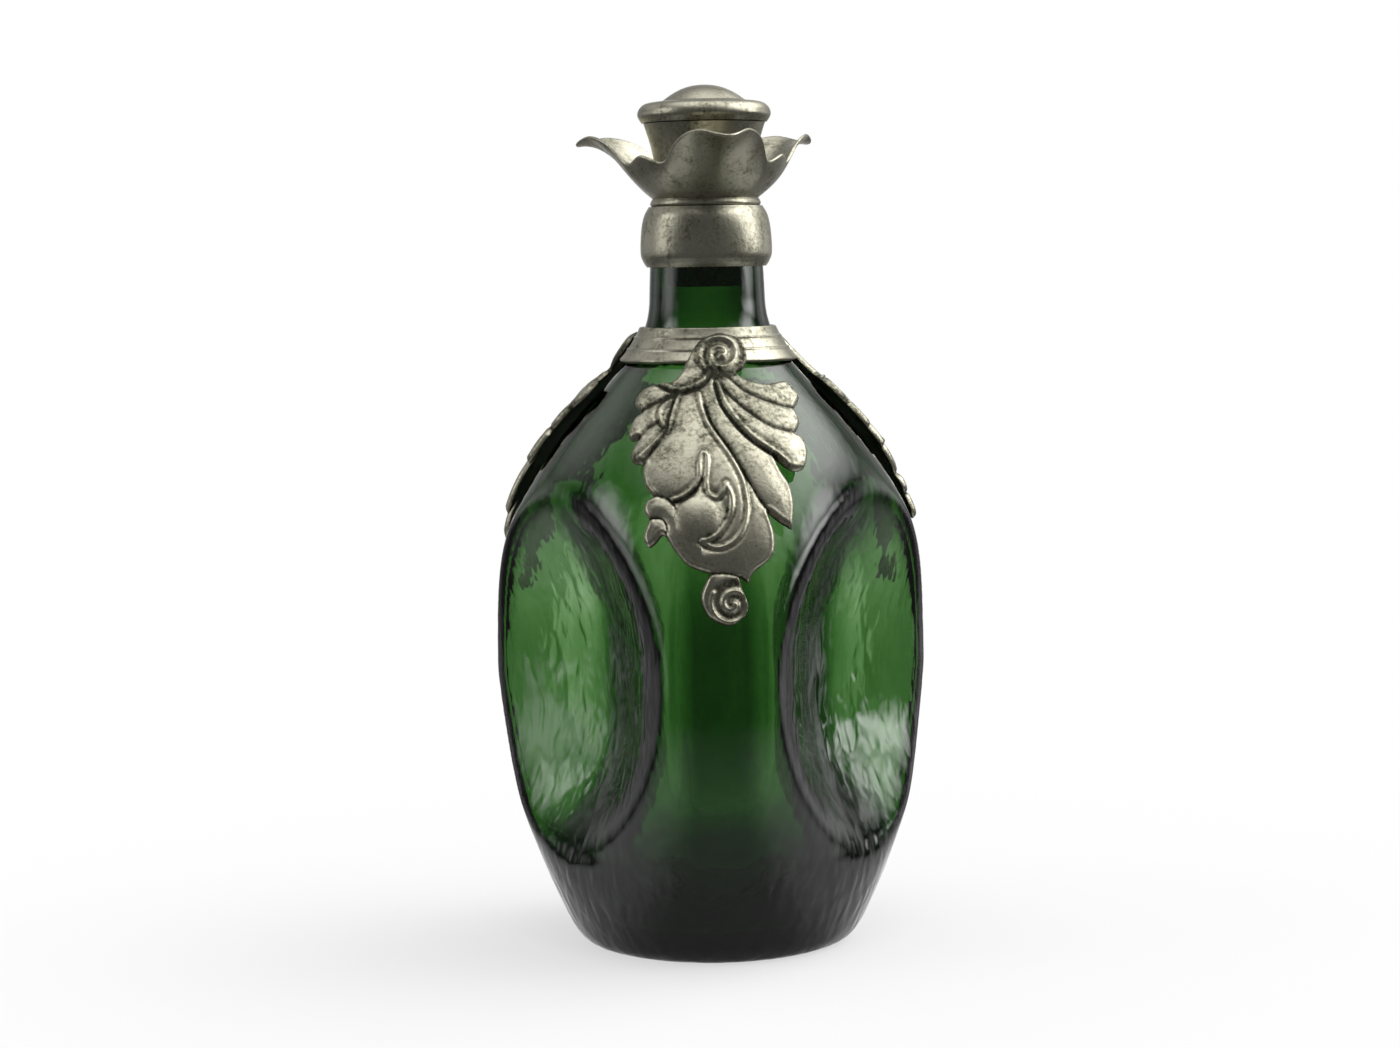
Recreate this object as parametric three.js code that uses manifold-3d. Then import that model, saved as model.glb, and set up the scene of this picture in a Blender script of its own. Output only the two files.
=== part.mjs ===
// Glass decanter: a bottle pinched in at three places, with pewter mounts and a cork-seated stopper.
// Millimetres, +Z up, origin at the middle of the resting face, front towards -Y.
import * as THREE from 'three';
import { mergeVertices } from 'three/addons/utils/BufferGeometryUtils.js';
import Module from 'manifold-3d';

const wasm = await Module();
wasm.setup();

// Bottle: radii from the upright axis, heights from the table
const BASE_RADIUS = 37.5;
const HEEL_RADIUS = 43.5;
const HEEL_HEIGHT = 4.2;
const HEEL_LEAN = 0.62;
const RIDGE_RADIUS = 70;
const RIDGE_HEIGHT = 83;
const SHOULDER_RADIUS = 34;
const SHOULDER_RISE = 83;
const SHOULDER_LEAN = 0.96;
const NECK_FLARE = 30;
const NECK_LENGTH = 24.5;
const BORE_RADIUS = 12.4;
const NECK_WALL = 5;
const LIP_WALL = 4;
const GLASS_WALL = 3.4;
const GLASS_FLOOR = 8;
const FLOOR_ROUND = 9;

// Curve handles of the bottle's outline, measured up or down the axis
const HEEL_HANDLE = 10;
const BELLY_HANDLE = 18;
const UPPER_HANDLE = 36.5;
const SHOULDER_HANDLE = 21;
const FLARE_HANDLE = 10;
const FOOT_HANDLE = 13;

// Three oval pinches that leave three upright ridges
const RIDGES = 3;
const PINCH_DEPTH = 34;
const PINCH_HEIGHT = 84.5;
const PINCH_HALF_HEIGHT = 53;
const PINCH_HALF_TURN = 47;
const PINCH_FLATNESS = 1.2;
const PINCH_POWER = 1.1;

// Shoulder band and its three cast leaves
const BAND_RISE = 9.4;
const BAND_HEIGHT = 10.6;
const BAND_WALL = 1.1;
const BAND_FIT = 0.4;
const BAND_FLARE = 0.4;
const LEAF_DROP = 1.5;
const LEAF_WALL = 1.7;
const LEAF_FIT = 0.35;
const LEAF_BOW = 1.8;

// Lip collar, its cement bed and the petal cup above it
const COLLAR_HEIGHT = 18;
const COLLAR_TOP = 1.4;
const COLLAR_WALL = 1.5;
const COLLAR_LIP = 1.2;
const COLLAR_BULGE = 0.6;
const CEMENT_BED = 1;
const CEMENT_FIT = 0.15;
const LIP_FIT = 0.3;
const CUP_WALL = 1.3;
const CUP_FOOT = 2.4;
const CUP_LEAN = 38;
const CUP_HANDLE = 0.36;
const PETALS = 3;
const PETAL_TURN = 8;
const PETAL_REACH = 41;
const PETAL_RISE = 18.8;
const PETAL_CREST = 2;
const VALLEY_REACH = 25;
const VALLEY_RISE = 12.6;
const SEPAL_RISE = 1.8;
const VALLEY_TURN = 38;

// Barrel curve of the collar: shares of its wall, of its lower lip and of its height
const FOOT_WALL_SHARE = 0.5;
const FOOT_RISE_SHARE = 0.4;
const BELLY_RISE_SHARE = 2.6;
const WAIST_RISE_SHARE = 0.62;
const CROWN_WALL_SHARE = 0.6;

// Cup rim: degrees from a petal's middle, shares of its reach and rise past the valley, its end slope
const RIM_STATIONS = [
  { turn: 0, reach: 1, rise: 1, lift: 0, slope: -8 },
  { turn: 12, reach: 0.65, rise: 1, lift: PETAL_CREST, slope: 28 },
  { turn: 25, reach: 0.28, rise: 0.95, lift: 0, slope: 55 },
  { turn: VALLEY_TURN, reach: 0, rise: 0, lift: 0, slope: 66 },
  { turn: 180 / PETALS, reach: 0, rise: 0, lift: SEPAL_RISE, slope: 72 },
];

// Stopper: pewter head, stud and cork
const SEAT_WIDTH = 1.6;
const SEAT_FIT = 0.3;
const SKIRT_HEIGHT = 24.4;
const SKIRT_RADIUS = 18.2;
const SKIRT_WAIST = 1.2;
const SKIRT_WALL = 1.3;
const SKIRT_PLATE = 1.4;
const RIM_RADIUS = 20;
const RIM_HEIGHT = 6.6;
const DOME_RADIUS = 14.6;
const DOME_HEIGHT = 4.6;
const DOME_WALL = 1.4;
const ROLL_LOW_SHARE = 0.3;
const ROLL_HIGH_SHARE = 0.7;
const ROLL_OUT_SHARE = 0.75;
const ROLL_INSIDE_SHARE = 0.25;
const CROWN_OUT_SHARE = 0.7;
const CROWN_IN_SHARE = 0.5;
const CORK_LENGTH = 24;
const CORK_FIT = 0.3;
const CORK_TAPER = 0.5;
const CORK_BEVEL = 0.8;
const STUD_RADIUS = 2.4;
const STUD_LENGTH = 17;
const STUD_HEAD_RADIUS = 5;
const STUD_HEAD_HEIGHT = 2;
const STUD_FIT = 0.3;

// Leaf outline seen square on: strokes of (across, below the top) that meet in points
const LEAF_START = [7, 11.5];
const LEAF_STROKES = [
  [[9, 13.4], [12.8, 14.6], [16.3, 15], [20.9, 14.6], [23.5, 16.6], [25.2, 19.4], [23.1, 22.4]],
  [[24.2, 24.1], [24.7, 26.5], [23, 28.9]],
  [[25.3, 30.6], [26.5, 34.4], [25.5, 38], [23.4, 39], [20.8, 38.4], [16.8, 35.3]],
  [[18.7, 39.4], [21, 43.4], [21.8, 48.6], [21, 54.8]],
  [[17.7, 52.8], [14.3, 50]],
  [[15.9, 55.4], [15.7, 60.7], [13.1, 63.7], [10, 65.9], [8.2, 69.1]],
  [[6, 67.3]],
  [[6.5, 70.6], [7.9, 75.1], [6.7, 78.2], [2.5, 80.6], [-3, 78.1], [-5.2, 72.9], [-3.5, 67.9],
    [-2.4, 66.2]],
  [[-8.5, 63.8], [-12.6, 59.1], [-15.1, 55.6], [-17.3, 57.7], [-19.4, 58.9], [-20.7, 55.9], [-19, 51.4]],
  [[-20.4, 49], [-19.6, 46.4], [-17.6, 45.1]],
  [[-19.8, 42.3], [-20.6, 38.3], [-20, 36.4]],
  [[-22.5, 36.2], [-23.7, 34.9], [-22.9, 32.1], [-21.1, 29.6]],
  [[-23.6, 29.9], [-24.2, 27.9], [-22.6, 24.4], [-20.2, 22.5]],
  [[-22.2, 20.1], [-20.6, 17.1], [-18.4, 15.5], [-15.5, 14.6]],
  [[-11.7, 14], [-9.4, 12.3], [-6.9, 7.9], [-4.9, 4.3], [-2.5, 1.7], [0.5, 0.3], [3.4, 0], [8.4, 1.8],
    [10.4, 6.1], [9.7, 9.8], LEAF_START],
];

// Facets round the axis and along the curves
const BOTTLE_STEPS = 84;
const CUP_STEPS = 48;
const RING_STEPS = 40;
const OUTLINE_STEPS = 40;
const BODY_STEPS = 20;
const INNER_STEPS = 12;
const HEEL_STEPS = 2;
const FLOOR_STEPS = 3;
const BAND_STEPS = 3;
const SHELL_STEPS = 11;
const LEAF_STEPS = 2;
const BARREL_STEPS = 7;
const PETAL_STEPS = 6;
const ROLL_STEPS = 6;
const CROWN_STEPS = 5;
const FLARE_STEPS = 5;

// Heights and radii that follow from the sizes above
const shoulderHeight = RIDGE_HEIGHT + SHOULDER_RISE;
const neckFoot = shoulderHeight + NECK_FLARE;
const lipHeight = neckFoot + NECK_LENGTH;
const neckRadius = BORE_RADIUS + NECK_WALL;
const lipRadius = BORE_RADIUS + LIP_WALL;
const bandBottom = shoulderHeight + BAND_RISE;
const bandTop = bandBottom + BAND_HEIGHT;
const leafTop = bandTop - LEAF_DROP;
const collarTop = lipHeight + LIP_FIT + COLLAR_TOP;
const collarBottom = collarTop - COLLAR_HEIGHT;
const mouthRadius = BORE_RADIUS + LIP_FIT;
const skirtFoot = mouthRadius + SEAT_WIDTH;
const cupBore = skirtFoot + SEAT_FIT;
const cupFoot = cupBore + CUP_WALL;
const skirtBottom = collarTop + SEAT_FIT;
const skirtTop = skirtBottom + SKIRT_HEIGHT;
const rimBottom = skirtTop + SEAT_FIT;
const corkTop = skirtBottom - SEAT_FIT;
const corkBottom = corkTop - CORK_LENGTH;
const corkRadius = BORE_RADIUS - CORK_FIT;
const studHole = STUD_RADIUS + STUD_FIT;
const studBottom = corkTop - STUD_LENGTH;
const plateTop = skirtBottom + SKIRT_PLATE;

const at = (radius, height) => new THREE.Vector2(radius, height);
const mix = THREE.MathUtils.lerp;
const ease = THREE.MathUtils.smoothstep;

// Solids to and from the boolean library
function solidOf(geometry) {
  geometry.deleteAttribute('normal');
  geometry.deleteAttribute('uv');
  const welded = mergeVertices(geometry);
  return new wasm.Manifold(new wasm.Mesh({
    numProp: 3,
    vertProperties: new Float32Array(welded.attributes.position.array),
    triVerts: new Uint32Array(welded.index.array),
  }));
}

function geometryOf(solid) {
  const mesh = solid.getMesh();
  const geometry = new THREE.BufferGeometry();
  geometry.setAttribute('position', new THREE.BufferAttribute(mesh.vertProperties, 3));
  geometry.setIndex(new THREE.BufferAttribute(mesh.triVerts, 1));
  geometry.computeVertexNormals();
  return geometry;
}

// A profile of (radius, height) points turned about the upright axis, starting at the front
function turned(profile, steps = RING_STEPS) {
  return new THREE.LatheGeometry(profile, steps).rotateX(Math.PI / 2);
}

function turnedRing(profile, steps = RING_STEPS) {
  return turned([...profile, profile[0].clone()], steps);
}

// Outer outline of the bottle along a ridge, from the resting face to the lip
function bottleOutline() {
  const outline = new THREE.Path();
  outline.moveTo(BASE_RADIUS, 0);
  outline.quadraticCurveTo(HEEL_RADIUS - HEEL_LEAN * HEEL_HEIGHT, 0, HEEL_RADIUS, HEEL_HEIGHT);
  outline.bezierCurveTo(
    HEEL_RADIUS + HEEL_LEAN * HEEL_HANDLE, HEEL_HEIGHT + HEEL_HANDLE,
    RIDGE_RADIUS, RIDGE_HEIGHT - BELLY_HANDLE,
    RIDGE_RADIUS, RIDGE_HEIGHT,
  );
  outline.bezierCurveTo(
    RIDGE_RADIUS, RIDGE_HEIGHT + UPPER_HANDLE,
    SHOULDER_RADIUS + SHOULDER_LEAN * SHOULDER_HANDLE, shoulderHeight - SHOULDER_HANDLE,
    SHOULDER_RADIUS, shoulderHeight,
  );
  outline.bezierCurveTo(
    SHOULDER_RADIUS - SHOULDER_LEAN * FLARE_HANDLE, shoulderHeight + FLARE_HANDLE,
    neckRadius, neckFoot - FOOT_HANDLE,
    neckRadius, neckFoot,
  );
  outline.lineTo(lipRadius, lipHeight);
  return outline;
}

const fineOutline = bottleOutline().getPoints(OUTLINE_STEPS);

// Radius of the ridge outline at a height
function ridgeRadius(height) {
  const above = fineOutline.findIndex((point, i) => i > 0 && point.y >= height);
  const next = fineOutline[above < 0 ? fineOutline.length - 1 : above];
  const last = fineOutline[above < 0 ? fineOutline.length - 2 : above - 1];
  return mix(last.x, next.x, (height - last.y) / (next.y - last.y));
}

// Point that stands off the ridge outline, square to it
function standOff(height, distance) {
  const reach = 0.5;
  const slope = (ridgeRadius(height + reach) - ridgeRadius(height - reach)) / (2 * reach);
  const length = Math.hypot(1, slope);
  return at(ridgeRadius(height) + distance / length, height - (distance * slope) / length);
}

// How far the nearest oval pinch draws the glass in, at an azimuth from the front and a height
function pinchAt(azimuth, height) {
  const third = (2 * Math.PI) / RIDGES;
  const turn = azimuth - third * (Math.floor(azimuth / third) + 0.5);
  const across = turn / THREE.MathUtils.degToRad(PINCH_HALF_TURN);
  const up = (height - PINCH_HEIGHT) / PINCH_HALF_HEIGHT;
  const bowl = (across ** 2 + up ** 2) ** PINCH_FLATNESS;
  return PINCH_DEPTH * Math.max(0, 1 - bowl) ** PINCH_POWER;
}

// Bottle: one blown shell, open at the mouth
function glassBottle() {
  const outer = [at(0, 0), ...bottleOutline().curves[0].getPoints(HEEL_STEPS)];
  for (let i = 1; i <= BODY_STEPS; i += 1) {
    const height = mix(HEEL_HEIGHT, neckFoot, i / BODY_STEPS);
    outer.push(at(ridgeRadius(height), height));
  }
  outer.push(at(lipRadius, lipHeight));
  const inner = [at(BORE_RADIUS, lipHeight), at(BORE_RADIUS, neckFoot)];
  const innerFoot = GLASS_FLOOR + FLOOR_ROUND;
  for (let i = 1; i <= INNER_STEPS; i += 1) {
    const height = mix(neckFoot, innerFoot, i / INNER_STEPS);
    const wall = mix(GLASS_WALL, NECK_WALL, ease(height, shoulderHeight, neckFoot));
    inner.push(at(ridgeRadius(height) - wall, height));
  }
  const corner = inner[inner.length - 1];
  const floorCurve = new THREE.QuadraticBezierCurve(
    corner, at(corner.x, GLASS_FLOOR), at(corner.x - FLOOR_ROUND, GLASS_FLOOR));
  inner.push(...floorCurve.getPoints(FLOOR_STEPS).slice(1), at(0, GLASS_FLOOR));
  const geometry = turned([...outer, ...inner], BOTTLE_STEPS);
  const position = geometry.attributes.position;
  for (let i = 0; i < position.count; i += 1) {
    const [x, y, height] = [position.getX(i), position.getY(i), position.getZ(i)];
    const radius = Math.hypot(x, y);
    const scale = radius > 0 ? 1 - pinchAt(Math.atan2(x, -y), height) / radius : 1;
    position.setXY(i, x * scale, y * scale);
  }
  return geometry;
}

// Spun band that rests on the shoulder and flares off it at its lower edge
function shoulderBand() {
  const inside = [];
  const outside = [];
  for (let i = 0; i <= BAND_STEPS; i += 1) {
    const height = mix(bandBottom, bandTop, i / BAND_STEPS);
    const gap = mix(BAND_FIT + BAND_FLARE, BAND_FIT, i / BAND_STEPS);
    inside.push(standOff(height, gap));
    outside.push(standOff(height, gap + BAND_WALL));
  }
  return turnedRing([...outside, ...inside.reverse()]);
}

// Curved shell that the leaves are cut from: over the band at the top, near the glass below
function leafShell() {
  const depths = LEAF_STROKES.flat().map((point) => point[1]);
  const margin = 4;
  const low = leafTop - Math.max(...depths) - margin;
  const high = leafTop + margin;
  const overBand = BAND_FIT + BAND_FLARE + BAND_WALL + LEAF_FIT;
  const inside = [];
  const outside = [];
  for (let i = 0; i <= SHELL_STEPS; i += 1) {
    const height = mix(low, high, i / SHELL_STEPS);
    const rise = ease(height, low, bandBottom);
    const gap = mix(LEAF_FIT, overBand, rise) + 4 * LEAF_BOW * rise * (1 - rise);
    inside.push(standOff(height, gap));
    outside.push(standOff(height, gap + LEAF_WALL));
  }
  return turnedRing([...outside, ...inside.reverse()]);
}

function leafBlank() {
  const outline = new THREE.Shape();
  outline.moveTo(LEAF_START[0], leafTop - LEAF_START[1]);
  for (const stroke of LEAF_STROKES) {
    outline.splineThru(stroke.map(([across, below]) => at(across, leafTop - below)));
  }
  const depth = RIDGE_RADIUS + BAND_WALL + LEAF_WALL + LEAF_FIT + LEAF_BOW;
  const prism = new THREE.ExtrudeGeometry(outline, { depth, bevelEnabled: false, curveSegments: LEAF_STEPS });
  return prism.rotateX(Math.PI / 2);
}

function castLeaf() {
  return geometryOf(solidOf(leafBlank()).intersect(solidOf(leafShell())));
}

// Barrel collar with a flat top that closes over the glass lip
function lipCollar() {
  const lipReach = ridgeRadius(collarBottom) + LIP_FIT;
  const bed = CEMENT_BED + 2 * CEMENT_FIT;
  const ledge = collarBottom + COLLAR_LIP;
  const under = lipHeight + LIP_FIT;
  const lowBed = ridgeRadius(ledge + COLLAR_LIP) + bed;
  const highBed = lipRadius + bed;
  const barrel = new THREE.SplineCurve([
    at(lipReach + COLLAR_BULGE, collarBottom),
    at(lowBed + COLLAR_WALL * FOOT_WALL_SHARE, ledge + COLLAR_LIP * FOOT_RISE_SHARE),
    at(lowBed + COLLAR_WALL, ledge + COLLAR_LIP * BELLY_RISE_SHARE),
    at((lowBed + highBed) / 2 + COLLAR_WALL, mix(ledge, under, WAIST_RISE_SHARE)),
    at(highBed + COLLAR_WALL * CROWN_WALL_SHARE, under - COLLAR_TOP),
    at(highBed - COLLAR_BULGE, collarTop),
  ]);
  return turnedRing([
    ...barrel.getPoints(BARREL_STEPS),
    at(mouthRadius, collarTop),
    at(mouthRadius, under),
    at(highBed - COLLAR_BULGE, under),
    at(highBed, under - COLLAR_TOP),
    at(lowBed, ledge + COLLAR_LIP),
    at(lipReach, ledge),
    at(lipReach, collarBottom),
  ]);
}

// Cement that fills the space between the neck and the collar
function collarCement() {
  const low = collarBottom + 2 * COLLAR_LIP + LIP_FIT;
  const high = lipHeight + LIP_FIT - COLLAR_TOP;
  const lowGlass = ridgeRadius(low) + CEMENT_FIT;
  const highGlass = ridgeRadius(high) + CEMENT_FIT;
  return turnedRing([
    at(lowGlass + CEMENT_BED, low),
    at(highGlass + CEMENT_BED, high),
    at(highGlass, high),
    at(lowGlass, low),
  ]);
}

// Reach, rise and end slope of the cup's rim at an angle from a petal's middle
const petalRim = new THREE.CubicInterpolant(
  RIM_STATIONS.map((station) => station.turn),
  RIM_STATIONS.flatMap((station) => [
    mix(VALLEY_REACH, PETAL_REACH, station.reach),
    mix(VALLEY_RISE, PETAL_RISE, station.rise) + station.lift,
    station.slope,
  ]),
  3,
);
petalRim.settings = { endingStart: THREE.ZeroSlopeEnding, endingEnd: THREE.ZeroSlopeEnding };

function cupCurve(azimuth) {
  const span = 360 / PETALS;
  const degrees = THREE.MathUtils.radToDeg(azimuth) - PETAL_TURN;
  const [reach, rise, tilt] = petalRim.evaluate(Math.abs(degrees - span * Math.round(degrees / span)));
  const start = at(cupFoot, collarTop + CUP_FOOT);
  const end = at(reach, collarTop + rise);
  const handle = start.distanceTo(end) * CUP_HANDLE;
  const leave = THREE.MathUtils.degToRad(CUP_LEAN);
  const arrive = THREE.MathUtils.degToRad(tilt);
  return new THREE.CubicBezierCurve(
    start,
    at(start.x + handle * Math.cos(leave), start.y + handle * Math.sin(leave)),
    at(end.x - handle * Math.cos(arrive), end.y - handle * Math.sin(arrive)),
    end,
  );
}

// Cup of three spout petals with a low lobe between each two, on a short round foot
function petalCup() {
  const foot = [at(cupFoot, collarTop)];
  const throat = [at(cupBore, collarTop)];
  const rings = 2 * (PETAL_STEPS + 1) + foot.length + throat.length;
  const geometry = turnedRing(new Array(rings).fill(at(cupFoot, collarTop)), CUP_STEPS);
  const position = geometry.attributes.position;
  for (let turn = 0; turn <= CUP_STEPS; turn += 1) {
    const azimuth = (2 * Math.PI * (turn % CUP_STEPS)) / CUP_STEPS;
    const curve = cupCurve(azimuth);
    const outside = [];
    const inside = [];
    for (let i = 0; i <= PETAL_STEPS; i += 1) {
      const point = curve.getPoint(i / PETAL_STEPS);
      const along = curve.getTangent(i / PETAL_STEPS);
      outside.push(point);
      inside.push(at(point.x - along.y * CUP_WALL, point.y + along.x * CUP_WALL));
    }
    const loop = [...foot, ...outside, ...inside.reverse(), ...throat, ...foot];
    loop.forEach((point, i) => position.setXYZ(
      turn * loop.length + i, point.x * Math.sin(azimuth), -point.x * Math.cos(azimuth), point.y));
  }
  return geometry;
}

// Domed cap with a rolled rim, hollow underneath
function stopperDome() {
  const rim = rimBottom + RIM_HEIGHT;
  const apex = rim + DOME_HEIGHT;
  const inner = SKIRT_RADIUS - SKIRT_WALL;
  const roll = new THREE.SplineCurve([
    at(SKIRT_RADIUS + SKIRT_WALL / 2, rimBottom),
    at(RIM_RADIUS, rimBottom + RIM_HEIGHT * ROLL_LOW_SHARE),
    at(mix(DOME_RADIUS, RIM_RADIUS, ROLL_OUT_SHARE), rimBottom + RIM_HEIGHT * ROLL_HIGH_SHARE),
    at(DOME_RADIUS, rim),
  ]);
  const crown = new THREE.CubicBezierCurve(
    at(DOME_RADIUS, rim),
    at(DOME_RADIUS * CROWN_OUT_SHARE, rim + DOME_HEIGHT * (1 - CROWN_OUT_SHARE)),
    at(DOME_RADIUS * CROWN_IN_SHARE, apex),
    at(0, apex),
  );
  return turned([
    at(0, apex - 2 * DOME_WALL),
    at(DOME_RADIUS - DOME_WALL, rim - DOME_WALL),
    at(inner, rimBottom + RIM_HEIGHT * ROLL_INSIDE_SHARE),
    at(inner, rimBottom),
    ...roll.getPoints(ROLL_STEPS),
    ...crown.getPoints(CROWN_STEPS).slice(1),
  ]);
}

// Flared cup below the dome, closed by a plate that seats on the collar
function stopperSkirt() {
  const flare = (inset) => new THREE.QuadraticBezierCurve(
    at(skirtFoot - inset, skirtBottom),
    at((skirtFoot + SKIRT_RADIUS) / 2 - 2 * SKIRT_WAIST - inset, (skirtBottom + skirtTop) / 2),
    at(SKIRT_RADIUS - inset, skirtTop),
  ).getPoints(FLARE_STEPS);
  const inside = flare(SKIRT_WALL).slice(1).reverse();
  return turnedRing([
    at(studHole, skirtBottom),
    ...flare(0),
    ...inside,
    at(skirtFoot - SKIRT_WALL, plateTop),
    at(studHole, plateTop),
  ]);
}

// Headed stud that holds the cork to the skirt's plate
function corkStud() {
  const head = plateTop + STUD_FIT;
  return turned([
    at(0, studBottom),
    at(STUD_RADIUS, studBottom),
    at(STUD_RADIUS, head),
    at(STUD_HEAD_RADIUS, head),
    at(STUD_HEAD_RADIUS, head + STUD_HEAD_HEIGHT),
    at(0, head + STUD_HEAD_HEIGHT),
  ]);
}

// Tapered cork with a blind hole for the stud
function stopperCork() {
  const tip = corkRadius - CORK_TAPER;
  return turned([
    at(0, corkBottom),
    at(tip - CORK_BEVEL, corkBottom),
    at(tip, corkBottom + CORK_BEVEL),
    at(corkRadius, corkTop),
    at(studHole, corkTop),
    at(studHole, studBottom - STUD_FIT),
    at(0, studBottom - STUD_FIT),
  ]);
}

// Finishes, and the assembly
const finishes = {
  glass: { color: 0x1f5a24, roughness: 0.06, metalness: 0 },
  pewter: { color: 0x86837a, roughness: 0.45, metalness: 0.9 },
  cork: { color: 0x8f6b46, roughness: 0.85, metalness: 0 },
  cement: { color: 0xcbc4b2, roughness: 0.9, metalness: 0 },
};

const decanter = new THREE.Group();

function add(name, geometry, finish, degrees = 0) {
  const mesh = new THREE.Mesh(geometry, new THREE.MeshStandardMaterial(finishes[finish]));
  mesh.name = name;
  mesh.rotation.z = THREE.MathUtils.degToRad(degrees);
  decanter.add(mesh);
}

add('glass_bottle', glassBottle(), 'glass');
add('shoulder_band', shoulderBand(), 'pewter');
const leaf = castLeaf();
const leafNames = ['leaf_front', 'leaf_right', 'leaf_left'];
leafNames.forEach((name, i) => add(name, leaf, 'pewter', (i * 360) / RIDGES));
add('lip_collar', lipCollar(), 'pewter');
add('collar_cement', collarCement(), 'cement');
add('petal_cup', petalCup(), 'pewter');
add('stopper_dome', stopperDome(), 'pewter');
add('stopper_skirt', stopperSkirt(), 'pewter');
add('cork_stud', corkStud(), 'pewter');
add('stopper_cork', stopperCork(), 'cork');

export default decanter;
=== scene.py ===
# %% [markdown]
# # A pinched glass decanter with pewter mounts
# The real thing is a hand-blown green bottle, squeezed in at three places while it was soft. A pewter
# band with three cast leaves sits on its shoulder, and a pewter collar, a petal cup and a stopper with
# a cork close its neck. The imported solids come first, as a fixed frame. Every finer piece below is
# made in that frame and stands for one or more of the solids.

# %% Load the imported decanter
import math

import bmesh
import bpy
import numpy as np
from mathutils import Matrix, Vector
from mathutils.geometry import delaunay_2d_cdt


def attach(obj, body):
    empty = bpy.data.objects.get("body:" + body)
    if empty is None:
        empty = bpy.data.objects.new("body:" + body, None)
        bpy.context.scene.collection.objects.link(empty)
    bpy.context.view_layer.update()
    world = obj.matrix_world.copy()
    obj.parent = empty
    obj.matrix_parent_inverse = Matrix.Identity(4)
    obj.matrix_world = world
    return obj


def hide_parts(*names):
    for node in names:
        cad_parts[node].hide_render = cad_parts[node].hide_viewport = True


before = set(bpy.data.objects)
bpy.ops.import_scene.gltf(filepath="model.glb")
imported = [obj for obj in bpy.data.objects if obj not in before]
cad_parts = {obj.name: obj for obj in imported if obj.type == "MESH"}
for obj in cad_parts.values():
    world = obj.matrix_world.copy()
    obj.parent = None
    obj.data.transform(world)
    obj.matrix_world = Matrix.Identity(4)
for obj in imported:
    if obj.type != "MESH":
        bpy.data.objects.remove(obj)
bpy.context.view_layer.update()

MM = 0.001
scene = bpy.context.scene
scene.view_settings.view_transform = "Standard"
print("solids:", sorted(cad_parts))

# %% [markdown]
# ## Camera
# A camera is matched to a photograph by its distance, height, pitch and focal length. They could be
# tried out by eye, but here they were worked out from how round the base and the collar look, because a
# ring seen from above becomes an ellipse. A small roll and turn take up the way the picture was held.

# %% Place the camera
PHOTO_WIDTH = 1400
FOCAL_PIXELS = 2900
AXIS_PIXEL = 711
CAMERA_DISTANCE = 876 * MM
CAMERA_HEIGHT = 207.7 * MM
CAMERA_PITCH = math.radians(5.3)
CAMERA_AZIMUTH = math.radians(-1.7)
CAMERA_ROLL = math.radians(-1.0)

lens = bpy.data.cameras.new("photo_lens")
lens.sensor_width = 36
lens.lens = lens.sensor_width * FOCAL_PIXELS / PHOTO_WIDTH
lens.clip_start = 0.01
camera = bpy.data.objects.new("photo_camera", lens)
scene.collection.objects.link(camera)
aim = CAMERA_AZIMUTH + math.atan((AXIS_PIXEL - PHOTO_WIDTH / 2) / FOCAL_PIXELS)
spot = Vector((
    CAMERA_DISTANCE * math.sin(CAMERA_AZIMUTH),
    -CAMERA_DISTANCE * math.cos(CAMERA_AZIMUTH),
    CAMERA_HEIGHT,
))
camera.matrix_world = (
    Matrix.Translation(spot)
    @ Matrix.Rotation(aim, 4, "Z")
    @ Matrix.Rotation(math.pi / 2 - CAMERA_PITCH, 4, "X")
    @ Matrix.Rotation(CAMERA_ROLL, 4, "Z")
)
scene.camera = camera
print("lens", round(lens.lens, 1), "mm at", [round(v, 3) for v in spot])

# %% [markdown]
# ## Three small tools for nodes
# Colours are written as the sRGB hex codes a paint program shows, and Blender wants linear light, so
# one function turns one into the other. Another adds a node, sets it up and links it, which keeps long
# trees readable, and the third sets the stops of a colour ramp.

# %% Colour and node tools
def linear(code):
    channels = [int(code[i : i + 2], 16) / 255 for i in (1, 3, 5)]
    return tuple(c / 12.92 if c <= 0.04045 else ((c + 0.055) / 1.055) ** 2.4 for c in channels) + (1.0,)


def add_node(tree, kind, settings=None, inputs=None):
    made = tree.nodes.new(kind)
    for name, value in (settings or {}).items():
        setattr(made, name, value)
    for socket, value in (inputs or {}).items():
        if isinstance(value, bpy.types.NodeSocket):
            tree.links.new(value, made.inputs[socket])
        else:
            made.inputs[socket].default_value = value
    return made


def set_stops(ramp, stops):
    for _ in range(len(stops) - 2):
        ramp.elements.new(0.5)
    for element, (place, colour) in zip(ramp.elements, stops):
        element.position = place
        element.color = colour


print("mid grey is", round(linear("#808080")[0], 3), "in linear light")

# %% [markdown]
# ## Studio
# The bottle stood before a white sweep of paper, with soft lights at both sides and overhead, dim walls
# behind them and a darker room all round. Shiny metal and glass are mostly a picture of their
# surroundings, so the dim parts matter as much as the lights. Lamps could give the light, but a world
# that is painted by direction shows in every reflection too. Each row below is one soft patch: its
# middle, how far it reaches along each axis, and its level. The brightest patch in a direction wins, and
# the camera itself sees white everywhere.

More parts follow.
